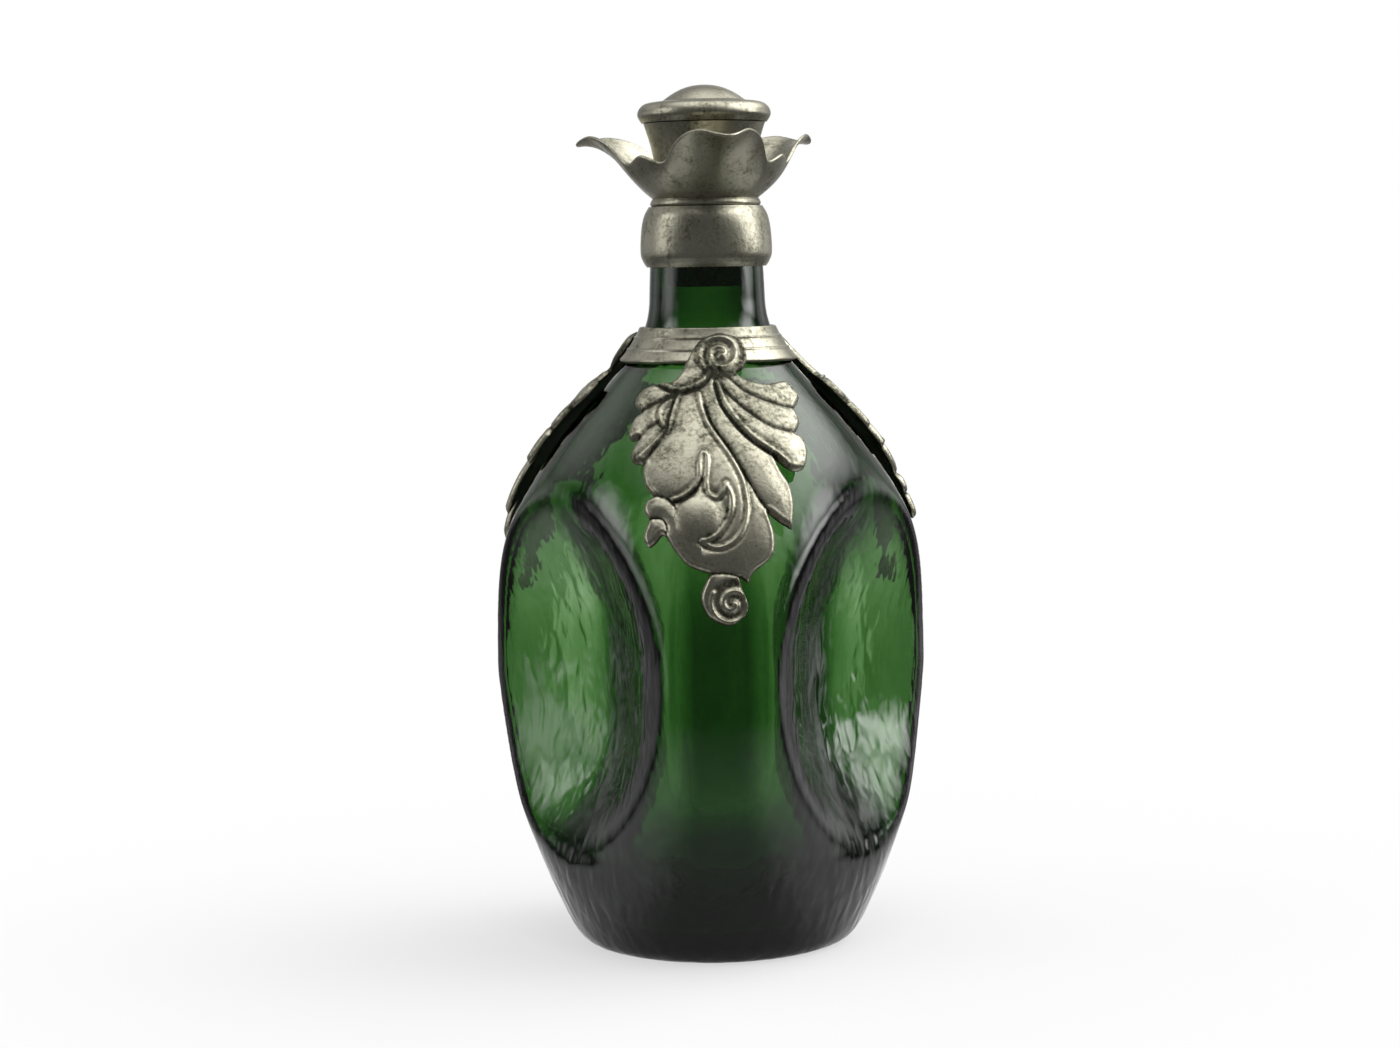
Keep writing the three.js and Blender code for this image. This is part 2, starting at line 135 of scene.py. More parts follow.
# %% Paint the world
DIM_ROOM = 0.085
SOFT_EDGE = 0.05
BACKDROP_LEVEL = 1.0
WHITE = linear("#ffffff")
LIGHTS = [
    ("grey room behind", (0, 1, 0), (1.4, 1.6, 1.4), 0.42),
    ("white sweep", (0, 1, 0), (0.55, 0.4, 0.9), 1.05),
    ("left light", (-0.97, -0.1, 0.1), (0.5, 0.45, 0.36), 2.0),
    ("left strip", (-0.86, -0.14, 0.45), (0.3, 0.36, 0.32), 3.8),
    ("upper left light", (-0.6, 0.5, 0.6), (0.6, 0.7, 0.5), 0.75),
    ("right light", (0.87, -0.1, 0.46), (0.42, 0.4, 0.36), 6.2),
    ("right strip", (0.97, -0.02, 0.14), (0.4, 0.38, 0.22), 6.2),
    ("right back wall", (0.78, 0.58, 0.08), (0.5, 0.45, 0.5), 0.95),
    ("left back wall", (-0.78, 0.58, 0.08), (0.5, 0.45, 0.5), 0.6),
    ("upper right light", (0.66, 0.15, 0.72), (0.65, 1.05, 0.48), 5.0),
    ("roof light", (0, -0.03, 0.95), (0.9, 0.95, 0.55), 2.4),
]
world = bpy.data.worlds.new("white_sweep")
scene.world = world
world.use_nodes = True
tree = world.node_tree
tree.nodes.clear()
heading = add_node(tree, "ShaderNodeTexCoord").outputs["Generated"]
brightest = DIM_ROOM
for label, middle, reach, light in LIGHTS:
    off = add_node(
        tree, "ShaderNodeVectorMath", {"operation": "SUBTRACT", "label": label},
        {0: heading, 1: middle}).outputs[0]
    off = add_node(tree, "ShaderNodeVectorMath", {"operation": "DIVIDE"}, {0: off, 1: reach}).outputs[0]
    off = add_node(tree, "ShaderNodeVectorMath", {"operation": "LENGTH"}, {0: off}).outputs["Value"]
    glow = add_node(
        tree, "ShaderNodeMapRange", {"interpolation_type": "SMOOTHSTEP"},
        {"Value": off, "From Min": 1.0, "From Max": SOFT_EDGE, "To Max": light}).outputs[0]
    brightest = add_node(
        tree, "ShaderNodeMath", {"operation": "MAXIMUM"}, {0: glow, 1: brightest}).outputs[0]
straight = add_node(tree, "ShaderNodeLightPath").outputs["Is Camera Ray"]
level = add_node(tree, "ShaderNodeMix", None, {0: straight, 2: brightest, 3: BACKDROP_LEVEL}).outputs[0]
backdrop = add_node(tree, "ShaderNodeBackground", None, {"Color": WHITE, "Strength": level})
add_node(tree, "ShaderNodeOutputWorld", None, {"Surface": backdrop.outputs[0]})
print("lights:", [row[0] for row in LIGHTS])

# %% [markdown]
# ## Bench
# The bench is white paper with a soft shadow where the bottle stands. It ended not far from the bottle,
# nearer in front than at the sides, so shiny things mirror white paper beside their foot and look past
# it further out. A painted edge would show from other sides, so the paper ends only for mirrored rays:
# it turns clear for them, and they go on to the world below.

# %% Lay the floor
FLOOR_RADIUS = 4.0
FLOOR_SIDES = 96
bench = bmesh.new()
bmesh.ops.create_circle(bench, cap_ends=True, segments=FLOOR_SIDES, radius=FLOOR_RADIUS)
floor_mesh = bpy.data.meshes.new("white_floor")
bench.to_mesh(floor_mesh)
bench.free()
floor = bpy.data.objects.new("white_floor", floor_mesh)
scene.collection.objects.link(floor)
print("floor", FLOOR_RADIUS * 2, "m across")

# %% White paper: matt, evenly lit, with the bottle's shadow
SHADE = (0.04, 0.34)
SHADE_GLOW = 0.62


def new_material(name):
    material = bpy.data.materials.new(name)
    material.use_nodes = True
    material.node_tree.nodes.clear()
    return material, material.node_tree


paper, tree = new_material("white_paper_floor")
where = add_node(tree, "ShaderNodeTexCoord").outputs["Object"]
away = add_node(tree, "ShaderNodeVectorMath", {"operation": "LENGTH"}, {0: where}).outputs["Value"]
far = add_node(
    tree, "ShaderNodeMapRange", {"interpolation_type": "SMOOTHSTEP"},
    {"Value": away, "From Min": SHADE[0], "From Max": SHADE[1], "To Min": SHADE_GLOW}).outputs[0]
near_paper = add_node(tree, "ShaderNodeBsdfDiffuse", None, {"Color": linear("#dedede")}).outputs[0]
far_paper = add_node(tree, "ShaderNodeEmission", None, {"Color": WHITE}).outputs[0]
paper_mix = add_node(
    tree, "ShaderNodeMixShader", None, {0: far, 1: near_paper, 2: far_paper}).outputs[0]
floor_mesh.materials.append(paper)
print(paper.name, "is shaded up to", SHADE[1], "m away")

# %% End the paper for mirrored rays
BENCH_EDGE = (0.07, 0.22)
BENCH_SHAPE = (0.65, 1.0, 1.0)
BENCH_SIDE = (0.02, 0.06)
FRONT_CLEAR = 0.66
SIDE_CLEAR = 0.1
aside = add_node(tree, "ShaderNodeSeparateXYZ", None, {0: where}).outputs["X"]
aside = add_node(tree, "ShaderNodeMath", {"operation": "ABSOLUTE"}, {0: aside}).outputs[0]
near_clear = add_node(
    tree, "ShaderNodeMapRange", {"interpolation_type": "SMOOTHSTEP"},
    {"Value": aside, "From Min": BENCH_SIDE[0], "From Max": BENCH_SIDE[1],
     "To Min": FRONT_CLEAR, "To Max": SIDE_CLEAR}).outputs[0]
oval = add_node(
    tree, "ShaderNodeVectorMath", {"operation": "MULTIPLY"}, {0: where, 1: BENCH_SHAPE}).outputs[0]
oval = add_node(tree, "ShaderNodeVectorMath", {"operation": "LENGTH"}, {0: oval}).outputs["Value"]
past_edge = add_node(
    tree, "ShaderNodeMapRange", {"interpolation_type": "SMOOTHSTEP"},
    {"Value": oval, "From Min": BENCH_EDGE[0], "From Max": BENCH_EDGE[1],
     "To Min": near_clear}).outputs[0]
path = add_node(tree, "ShaderNodeLightPath").outputs
mirrored = add_node(
    tree, "ShaderNodeMath", {"operation": "SUBTRACT", "use_clamp": True},
    {0: path["Is Glossy Ray"], 1: path["Is Transmission Ray"]}).outputs[0]
clear = add_node(
    tree, "ShaderNodeMath", {"operation": "MULTIPLY"}, {0: past_edge, 1: mirrored}).outputs[0]
beyond = add_node(tree, "ShaderNodeBsdfTransparent", None, {"Color": WHITE}).outputs[0]
bench_mix = add_node(tree, "ShaderNodeMixShader", None, {0: clear, 1: paper_mix, 2: beyond})
add_node(tree, "ShaderNodeOutputMaterial", None, {"Surface": bench_mix.outputs[0]})
print("mirrored paper ends", BENCH_EDGE[1], "m away")

# %% [markdown]
# ## Sizes
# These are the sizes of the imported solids, in millimetres, with the glass outline as Bezier curves. Each
# finer piece is measured off the same curves, so nothing has to be fitted by eye.

# %% Outline of the bottle
BASE_RADIUS = 37.5
LIP_HEIGHT = 220.5
LIP_RADIUS = 16.4
BORE_RADIUS = 12.4
NECK_FOOT = 196.0
SHOULDER_HEIGHT = 166.0
GLASS_WALL = 3.4
NECK_WALL = 5.0
GLASS_FLOOR = 8.0
FLOOR_ROUND = 9.0


def bezier(controls, steps):
    share = np.linspace(0, 1, steps + 1)[:, None]
    points = [np.array(p, float) for p in controls]
    while len(points) > 1:
        points = [a + (b - a) * share for a, b in zip(points, points[1:])]
    return points[0]


OUTLINE = np.vstack([
    bezier([(37.5, 0), (40.9, 0), (43.5, 4.2)], 12),
    bezier([(43.5, 4.2), (49.7, 14.2), (70, 65), (70, 83)], 120)[1:],
    bezier([(70, 83), (70, 119.5), (54.16, 145), (34, 166)], 120)[1:],
    bezier([(34, 166), (24.4, 176), (17.4, 183), (17.4, 196)], 60)[1:],
    [(LIP_RADIUS, LIP_HEIGHT)],
])


def ridge_radius(height):
    return np.interp(height, OUTLINE[:, 1], OUTLINE[:, 0])


print("widest", OUTLINE[:, 0].max() * 2, "mm, lip at", LIP_HEIGHT, "mm")

# %% [markdown]
# ## Finishes
# Pewter is a soft grey tin alloy. Castings come out of the mould with a fine grain and small pits, the
# high places get rubbed bright and a dark film stays in the hollows. A painted image could show this, but
# every piece would have to be unwrapped for it, so noises with sizes in millimetres draw it instead. Each
# piece can carry an attribute called recess, which is 1 in a groove and 0 on open metal, and the shader
# darkens it there.

# %% Cast pewter: satin metal, warm grey, blotched and pitted
BLOTCH_MM = 7.0
SPECK_MM = 1.1
GRAIN_MM = 0.55  # the real grain is finer than a pixel, so it is drawn coarser to show
pewter, tree = new_material("cast_pewter")
where = add_node(tree, "ShaderNodeTexCoord").outputs["Object"]
recess = add_node(tree, "ShaderNodeAttribute", {"attribute_name": "recess"}).outputs["Fac"]
blotch = add_node(
    tree, "ShaderNodeTexNoise", None,
    {"Vector": where, "Scale": 1 / (BLOTCH_MM * MM), "Detail": 5.0, "Roughness": 0.6}).outputs[0]
speck = add_node(
    tree, "ShaderNodeTexNoise", None,
    {"Vector": where, "Scale": 1 / (SPECK_MM * MM), "Detail": 4.0, "Roughness": 0.65}).outputs[0]
grain = add_node(
    tree, "ShaderNodeTexNoise", None,
    {"Vector": where, "Scale": 1 / (GRAIN_MM * MM), "Detail": 2.0}).outputs[0]
print(pewter.name, "patterns of", BLOTCH_MM, SPECK_MM, "and", GRAIN_MM, "mm")

# %% Its dark film and its skin
BLOTCH_SHARE = 0.82
SPECK_SHARE = 0.78
RECESS_SHARE = 0.62
FILM = (0.72, 1.23)
SATIN = (0.33, 0.55)
PIT_DEPTH_MM = 0.16
GRAIN_DEPTH_MM = 0.06
stain = add_node(tree, "ShaderNodeMath", {"operation": "MULTIPLY"}, {0: blotch, 1: BLOTCH_SHARE}).outputs[0]
cloud = add_node(
    tree, "ShaderNodeMath", {"operation": "MULTIPLY_ADD"},
    {0: speck, 1: SPECK_SHARE, 2: stain}).outputs[0]
film = add_node(
    tree, "ShaderNodeMath", {"operation": "MULTIPLY_ADD"},
    {0: recess, 1: RECESS_SHARE, 2: cloud}).outputs[0]
film = add_node(
    tree, "ShaderNodeMapRange", {"interpolation_type": "SMOOTHSTEP"},
    {"Value": film, "From Min": FILM[0], "From Max": FILM[1]}).outputs[0]
tone = add_node(tree, "ShaderNodeValToRGB", None, {"Fac": film})
set_stops(tone.color_ramp, [(0.0, linear("#adaa99")), (0.45, linear("#868473")), (1.0, linear("#34342b"))])
dull = add_node(
    tree, "ShaderNodeMapRange", None, {"Value": film, "To Min": SATIN[0], "To Max": SATIN[1]}).outputs[0]
pits = add_node(
    tree, "ShaderNodeBump", None,
    {"Strength": 0.5, "Distance": PIT_DEPTH_MM * MM, "Height": speck}).outputs[0]
skin = add_node(
    tree, "ShaderNodeBump", None,
    {"Strength": 0.25, "Distance": GRAIN_DEPTH_MM * MM, "Height": grain, "Normal": pits}).outputs[0]
metal = add_node(
    tree, "ShaderNodeBsdfPrincipled", None,
    {"Base Color": tone.outputs[0], "Metallic": 1.0, "Roughness": dull, "Normal": skin})
add_node(tree, "ShaderNodeOutputMaterial", None, {"Surface": metal.outputs[0]})
print(pewter.name, "nodes:", len(tree.nodes))

# %% [markdown]
# Green bottle glass takes its colour from iron and chromium right through its thickness, so thin walls
# look grass green and the thick base looks almost black. A tint on the surface would be the same
# everywhere, while absorption in the volume gives that by itself. The blown surface is shiny, with faint
# waves where the tools and the mould chilled it.

# %% Green bottle glass: clear gloss outside, colour in the depth
GLASS_IOR = 1.52
GLASS_GLOSS = 0.42
GLASS_TINT = linear("#9cc887")
GLASS_DENSITY = 790.0
WAVE_MM = 3.2
WAVE_STRETCH = (1.0, 1.0, 0.42)
WAVE_DEPTH_MM = 1.1
CALM_WAVES = 0.08
PINCH_WAVES = 0.55
glass, tree = new_material("green_bottle_glass")
where = add_node(tree, "ShaderNodeTexCoord").outputs["Object"]
drawn = add_node(
    tree, "ShaderNodeVectorMath", {"operation": "MULTIPLY"}, {0: where, 1: WAVE_STRETCH}).outputs[0]
wave = add_node(
    tree, "ShaderNodeTexNoise", None,
    {"Vector": drawn, "Scale": 1 / (WAVE_MM * MM), "Detail": 0.6, "Distortion": 0.4}).outputs[0]
pinched = add_node(tree, "ShaderNodeAttribute", {"attribute_name": "pinched"}).outputs["Fac"]
chill = add_node(
    tree, "ShaderNodeMath", {"operation": "MULTIPLY_ADD", "use_clamp": True},
    {0: pinched, 1: PINCH_WAVES, 2: CALM_WAVES}).outputs[0]
ripple = add_node(
    tree, "ShaderNodeBump", None,
    {"Strength": chill, "Distance": WAVE_DEPTH_MM * MM, "Height": wave}).outputs[0]
body = add_node(
    tree, "ShaderNodeBsdfPrincipled", None,
    {"Base Color": WHITE, "Roughness": 0.0, "IOR": GLASS_IOR, "Specular IOR Level": GLASS_GLOSS,
     "Transmission Weight": 1.0, "Normal": ripple})
depth = add_node(
    tree, "ShaderNodeVolumeAbsorption", None, {"Color": GLASS_TINT, "Density": GLASS_DENSITY})
add_node(
    tree, "ShaderNodeOutputMaterial", None, {"Surface": body.outputs[0], "Volume": depth.outputs[0]})
print(glass.name, "absorbs at", GLASS_DENSITY, "per metre")

# %% [markdown]
# Two dull finishes are left. The stopper's cork is cut from bark, brown with dark pores, and the collar
# is bedded in plaster. Neither shines, so a speckled colour and a high roughness are enough.

# %% Natural cork: cut, dry and matt, with dark pores
PORE_MM = 2.2
PORE_DEPTH_MM = 0.3
cork, tree = new_material("natural_cork")
where = add_node(tree, "ShaderNodeTexCoord").outputs["Object"]
cells = add_node(
    tree, "ShaderNodeTexNoise", None,
    {"Vector": where, "Scale": 1 / (PORE_MM * MM), "Detail": 6.0, "Roughness": 0.7}).outputs[0]
bark = add_node(tree, "ShaderNodeValToRGB", None, {"Fac": cells})
set_stops(bark.color_ramp, [(0.36, linear("#3d2616")), (0.46, linear("#8a6440")), (0.7, linear("#b48a5c"))])
rough = add_node(
    tree, "ShaderNodeBump", None,
    {"Strength": 0.6, "Distance": PORE_DEPTH_MM * MM, "Height": cells}).outputs[0]
dry = add_node(
    tree, "ShaderNodeBsdfPrincipled", None,
    {"Base Color": bark.outputs[0], "Roughness": 0.85, "Normal": rough})
add_node(tree, "ShaderNodeOutputMaterial", None, {"Surface": dry.outputs[0]})
print(cork.name, "with pores of", PORE_MM, "mm")

# %% Plaster cement: poured, chalky and matt
GRIT_MM = 0.8
plaster, tree = new_material("plaster_cement")
where = add_node(tree, "ShaderNodeTexCoord").outputs["Object"]
grit = add_node(
    tree, "ShaderNodeTexNoise", None,
    {"Vector": where, "Scale": 1 / (GRIT_MM * MM), "Detail": 4.0}).outputs[0]
chalk = add_node(tree, "ShaderNodeValToRGB", None, {"Fac": grit})
set_stops(chalk.color_ramp, [(0.3, linear("#a59d8a")), (0.7, linear("#d8d1bf"))])
matt = add_node(
    tree, "ShaderNodeBsdfPrincipled", None, {"Base Color": chalk.outputs[0], "Roughness": 0.9})
add_node(tree, "ShaderNodeOutputMaterial", None, {"Surface": matt.outputs[0]})
print("finishes:", [m.name for m in (pewter, glass, cork, plaster)])

# %% [markdown]
# ## Shaping tools
# Nearly every piece is turned or cast, so two tools do most of the work: one makes an object from points
# and faces, and one sweeps a profile round the axis. The Screw modifier could sweep too, but points that
# are worked out from the sizes can also be pinched, raised and bent.

# %% Make an object, and turn a profile
MERGE = 1e-7
SLIVER = 1e-8


def make_piece(name, points, faces, material, sharp=35):
    """Points in millimetres and faces become an object whose faces point outwards."""
    mesh = bpy.data.meshes.new(name)
    mesh.from_pydata((np.asarray(points) * MM).tolist(), [], faces)
    work = bmesh.new()
    work.from_mesh(mesh)
    bmesh.ops.remove_doubles(work, verts=work.verts, dist=MERGE)
    bmesh.ops.dissolve_degenerate(work, edges=work.edges, dist=SLIVER)
    if work.calc_volume(signed=True) < 0:
        bmesh.ops.reverse_faces(work, faces=work.faces)
    work.to_mesh(mesh)
    work.free()
    mesh.shade_smooth()
    mesh.set_sharp_from_angle(angle=math.radians(sharp))
    mesh.materials.append(material)
    piece = bpy.data.objects.new(name, mesh)
    scene.collection.objects.link(piece)
    return piece


def grid_faces(rows, columns, closed_rows):
    row = np.arange(rows if closed_rows else rows - 1)[:, None]
    column = np.arange(columns)[None, :]
    after, beside = (row + 1) % rows, (column + 1) % columns
    corners = [row * columns + column, row * columns + beside,
               after * columns + beside, after * columns + column]
    return np.stack([np.broadcast_to(c, (len(row), columns)) for c in corners], -1).reshape(-1, 4).tolist()


def swept_points(rows):
    """Radius and height at each row and column become points round the axis, from the front on."""
    angle = np.arange(rows.shape[1]) * 2 * math.pi / rows.shape[1]
    radius, height = rows[..., 0], rows[..., 1]
    return np.stack([radius * np.sin(angle), -radius * np.cos(angle), height], -1).reshape(-1, 3)


def turn_piece(name, profile, material, columns, ring=True, sharp=35):
    rows = np.repeat(np.asarray(profile, float)[:, None], columns, 1)
    return make_piece(name, swept_points(rows), grid_faces(len(rows), columns, ring), material, sharp)


print("a ring of 4 rows and 6 columns has", len(grid_faces(4, 6, True)), "faces")

# %% [markdown]
# ## Bottle
# A turned bottle is a profile swept round an axis. This one was then pinched at three places while it
# was soft, and each pinch is an oval hollow: deepest in its middle and nothing at its rim. Sculpting
# would give one bottle. The rule is the same for every point, so Geometry Nodes does it and its sizes
# stay inputs. The shell comes first, thicker in the neck and near the heel, where the glass was not
# stretched.

# %% Turn the shell
BOTTLE_COLUMNS = 340
OUTER_ROWS = 180
INNER_ROWS = 70
DISC_ROWS = 8
HEEL_THICKER = 7.5
HEEL = (12, 38)
LIP_ROUND = (1.6, 1.5)
BORE_ROUND = 1


def smooth_share(value, low, high):
    share = np.clip((value - low) / (high - low), 0, 1)
    return share * share * (3 - 2 * share)


def even_rows(curve, rows):
    length = np.concatenate([[0], np.cumsum(np.hypot(*np.diff(curve, axis=0).T))])
    places = np.linspace(0, length[-1], rows)
    return np.stack([np.interp(places, length, curve[:, k]) for k in (0, 1)], -1)


lip_round = bezier([
    (LIP_RADIUS, LIP_HEIGHT - LIP_ROUND[1]), (LIP_RADIUS, LIP_HEIGHT),
    (LIP_RADIUS - LIP_ROUND[0], LIP_HEIGHT)], 4)
outer = even_rows(np.vstack([OUTLINE[:-1], lip_round[:1]]), OUTER_ROWS)
inner_height = np.linspace(NECK_FOOT, GLASS_FLOOR + FLOOR_ROUND, 80)
inner_wall = GLASS_WALL + (NECK_WALL - GLASS_WALL) * smooth_share(inner_height, SHOULDER_HEIGHT, NECK_FOOT)
inner_wall += HEEL_THICKER * (1 - smooth_share(inner_height, *HEEL))
inner = np.stack([ridge_radius(inner_height) - inner_wall, inner_height], -1)
corner = inner[-1, 0]
floor_curve = bezier(
    [inner[-1], (corner, GLASS_FLOOR), (corner - FLOOR_ROUND, GLASS_FLOOR)], 10)
inner = even_rows(np.vstack([[(BORE_RADIUS, LIP_HEIGHT - BORE_ROUND)], inner, floor_curve[1:]]), INNER_ROWS)
base_rows = np.linspace((0, 0), (BASE_RADIUS, 0), DISC_ROWS)[:-1]
floor_rows = np.linspace((inner[-1, 0], GLASS_FLOOR), (0, GLASS_FLOOR), DISC_ROWS)[1:]
profile = np.vstack([
    base_rows, outer, lip_round[1:], [(BORE_RADIUS + BORE_ROUND, LIP_HEIGHT)], inner, floor_rows])
bottle = turn_piece("glass_bottle_blown", profile, glass, BOTTLE_COLUMNS, ring=False, sharp=60)
print("shell of", len(bottle.data.vertices), "points")

# %% [markdown]
# A tree can only add, multiply and so on. Link by link the rule would be hard to read, so it is a table
# of small sums, one Math node for each row. A row names its result, its operation and its terms, and
# later rows use earlier names. The rim of a pinch is rounded, most of all towards the front and at its
# lower end, where soft glass flowed.

# %% Two tools for trees
def new_tree(name, sockets):
    tree = bpy.data.node_groups.new(name, "GeometryNodeTree")
    tree.interface.new_socket("Geometry", in_out="INPUT", socket_type="NodeSocketGeometry")
    for label, kind in sockets:
        tree.interface.new_socket(label, in_out="INPUT", socket_type=kind)
    tree.interface.new_socket("Geometry", in_out="OUTPUT", socket_type="NodeSocketGeometry")
    return tree


def grow(piece, tree, values):
    """Run a tree on a piece with the given inputs and keep the result as a plain mesh."""
    modifier = piece.modifiers.new(tree.name, "NODES")
    modifier.node_group = tree
    for item in tree.interface.items_tree:
        if item.in_out == "INPUT" and item.name in values:
            modifier[item.identifier] = values[item.name]
    graph = bpy.context.evaluated_depsgraph_get()
    made = bpy.data.meshes.new_from_object(
        piece.evaluated_get(graph), preserve_all_data_layers=True, depsgraph=graph)
    piece.modifiers.clear()
    piece.data = made
    made.name = piece.name


print("tree tools ready")

# %% Write down the sum of a pinch
END_SLANT = -0.3
END_MEAN = 0.7
WALL_RAMP = 4.0
PINCH_SUM = [
    ("third", "DIVIDE", math.tau, 3.0),
    ("part", "DIVIDE", "azimuth", "third"),
    ("whole", "FLOOR", "part"),
    ("off", "SUBTRACT", "part", "whole"),
    ("off middle", "SUBTRACT", "off", 0.5),
    ("turn", "MULTIPLY", "off middle", "third"),
    ("across", "DIVIDE", "turn", "Pinch half turn"),
    ("across squared", "MULTIPLY", "across", "across"),
    ("over", "SUBTRACT", "height", "Pinch height"),
    ("up", "DIVIDE", "over", "Pinch half height"),
    ("oval", "MULTIPLY_ADD", "up", "up", "across squared"),
    ("bowl", "POWER", "oval", "Pinch flatness"),
    ("left", "SUBTRACT", 1.0, "bowl"),
    ("end", "MINIMUM", "up", 1.0),
    ("end reach", "MAXIMUM", "end", -1.0),
    ("end squared", "MULTIPLY", "end reach", "end reach"),
    ("lower more", "MULTIPLY_ADD", "end reach", END_SLANT, END_MEAN),
    ("end share", "MULTIPLY", "end squared", "lower more"),
    ("facing", "COSINE", "azimuth"),
    ("facing front", "MAXIMUM", "facing", 0.0),
    ("softness", "MULTIPLY_ADD", "end share", "End rounding", "Front rounding"),
    ("rounding", "MULTIPLY_ADD", "facing front", "softness", "Rim rounding"),
    ("rounding squared", "MULTIPLY", "rounding", "rounding"),
    ("left rounded", "MULTIPLY_ADD", "left", "left", "rounding squared"),
    ("left length", "SQRT", "left rounded"),
    ("left twice", "ADD", "left", "left length"),
    ("share", "MULTIPLY", "left twice", 0.5),
    ("pinch", "POWER", "share", "Pinch power"),
    ("drawn", "MULTIPLY", "pinch", "Pinch depth"),
    ("inside", "MULTIPLY", "pinch", WALL_RAMP),
    ("inside at most", "MINIMUM", "inside", 1.0),
    ("wall", "MULTIPLY_ADD", "inside at most", "flank_wall", "crest_wall"),
    ("inset", "ADD", "drawn", "wall"),
    ("x squared", "MULTIPLY", "x", "x"),
    ("radius squared", "MULTIPLY_ADD", "y", "y", "x squared"),
    ("radius", "SQRT", "radius squared"),
    ("safe radius", "MAXIMUM", "radius", 1e-6),
    ("inward", "DIVIDE", "inset", "safe radius"),
    ("offset", "MULTIPLY", "inward", -1.0),
]
PINCH_SIZES = {
    "Pinch depth": 34 * MM, "Pinch height": 84.5 * MM, "Pinch half height": 53 * MM,
    "Pinch half turn": math.radians(47), "Pinch flatness": 1.2, "Pinch power": 1.1, "Rim rounding": 0.05,
    "Front rounding": 0.09, "End rounding": 0.45,
}
print("pinch:", len(PINCH_SUM), "sums with", len(PINCH_SIZES), "sizes")

# %% Build the tree that pinches
tree = new_tree("pinched_glass", [(label, "NodeSocketFloat") for label in PINCH_SIZES] + [
    ("Ripple", "NodeSocketFloat"), ("Finish", "NodeSocketMaterial")])
given = add_node(tree, "NodeGroupInput").outputs
place = add_node(tree, "GeometryNodeInputPosition").outputs[0]
parts = add_node(tree, "ShaderNodeSeparateXYZ", None, {0: place}).outputs
front = add_node(tree, "ShaderNodeMath", {"operation": "MULTIPLY"}, {0: parts["Y"], 1: -1.0}).outputs[0]
azimuth = add_node(tree, "ShaderNodeMath", {"operation": "ARCTAN2"}, {0: parts["X"], 1: front}).outputs[0]
known = {label: given[label] for label in PINCH_SIZES}
known.update(x=parts["X"], y=parts["Y"], height=parts["Z"], azimuth=azimuth)
for name in ("flank_wall", "crest_wall"):
    known[name] = add_node(
        tree, "GeometryNodeInputNamedAttribute", {"data_type": "FLOAT"}, {"Name": name}).outputs[0]
for name, operation, *terms in PINCH_SUM:
    values = {i: known[t] if isinstance(t, str) else t for i, t in enumerate(terms)}
    known[name] = add_node(tree, "ShaderNodeMath", {"operation": operation}, values).outputs[0]
flat = add_node(tree, "ShaderNodeCombineXYZ", None, {0: parts["X"], 1: parts["Y"]}).outputs[0]
pull = add_node(
    tree, "ShaderNodeVectorMath", {"operation": "SCALE"}, {0: flat, "Scale": known["offset"]}).outputs[0]
pinched = add_node(
    tree, "GeometryNodeSetPosition", None, {"Geometry": given["Geometry"], "Offset": pull}).outputs[0]
print("pinch tree:", len(tree.nodes), "nodes so far")

# %% [markdown]
# Blown glass is wavy where a tool or the bench chilled it: in the pinches and at the heel. Bump in the
# finish could show it, but waves this wide also change how thick the wall is, and so its colour. A noise
# that is stretched along the height therefore lifts the surface there, as real geometry. The finer waves
# are left to the finish, which reads how chilled each point is from an attribute.

# %% Add the waves of blown glass
RIPPLE_SPACING_MM = 5.0
RIPPLE_STRETCH = (1.0, 1.0, 0.35)
RIPPLE_HEIGHT_MM = 0.8
CALM_RIPPLE = 0.1
PINCH_RIPPLE = 1.2
HEEL_STREAKS_MM = (42, 20)
HEEL_RIPPLE = 0.45
FLAT_FOOT_MM = 3
here = add_node(tree, "GeometryNodeInputPosition").outputs[0]
stretched = add_node(
    tree, "ShaderNodeVectorMath", {"operation": "MULTIPLY"}, {0: here, 1: RIPPLE_STRETCH}).outputs[0]
waves = add_node(
    tree, "ShaderNodeTexNoise", None,
    {"Vector": stretched, "Scale": 1 / (RIPPLE_SPACING_MM * MM), "Detail": 1.0, "Distortion": 0.8}).outputs[0]
centred = add_node(tree, "ShaderNodeMath", {"operation": "SUBTRACT"}, {0: waves, 1: 0.5}).outputs[0]
heel = add_node(
    tree, "ShaderNodeMapRange", {"interpolation_type": "SMOOTHSTEP"},
    {"Value": parts["Z"], "From Min": HEEL_STREAKS_MM[0] * MM, "From Max": HEEL_STREAKS_MM[1] * MM,
     "To Max": HEEL_RIPPLE}).outputs[0]
uneven = add_node(tree, "ShaderNodeMath", {"operation": "ADD"}, {0: known["pinch"], 1: heel}).outputs[0]
chilled = add_node(
    tree, "ShaderNodeMath", {"operation": "MULTIPLY_ADD"},
    {0: uneven, 1: PINCH_RIPPLE, 2: CALM_RIPPLE}).outputs[0]
swell = add_node(tree, "ShaderNodeMath", {"operation": "MULTIPLY"}, {0: centred, 1: chilled}).outputs[0]
swell = add_node(
    tree, "ShaderNodeMath", {"operation": "MULTIPLY"}, {0: swell, 1: given["Ripple"]}).outputs[0]
lift = add_node(
    tree, "ShaderNodeVectorMath", {"operation": "SCALE"},
    {0: add_node(tree, "GeometryNodeInputNormal").outputs[0], "Scale": swell}).outputs[0]
above = add_node(
    tree, "FunctionNodeCompare", {"data_type": "FLOAT", "operation": "GREATER_THAN"},
    {0: parts["Z"], 1: FLAT_FOOT_MM * MM}).outputs[0]
rippled = add_node(
    tree, "GeometryNodeSetPosition", None,
    {"Geometry": pinched, "Selection": above, "Offset": lift}).outputs[0]
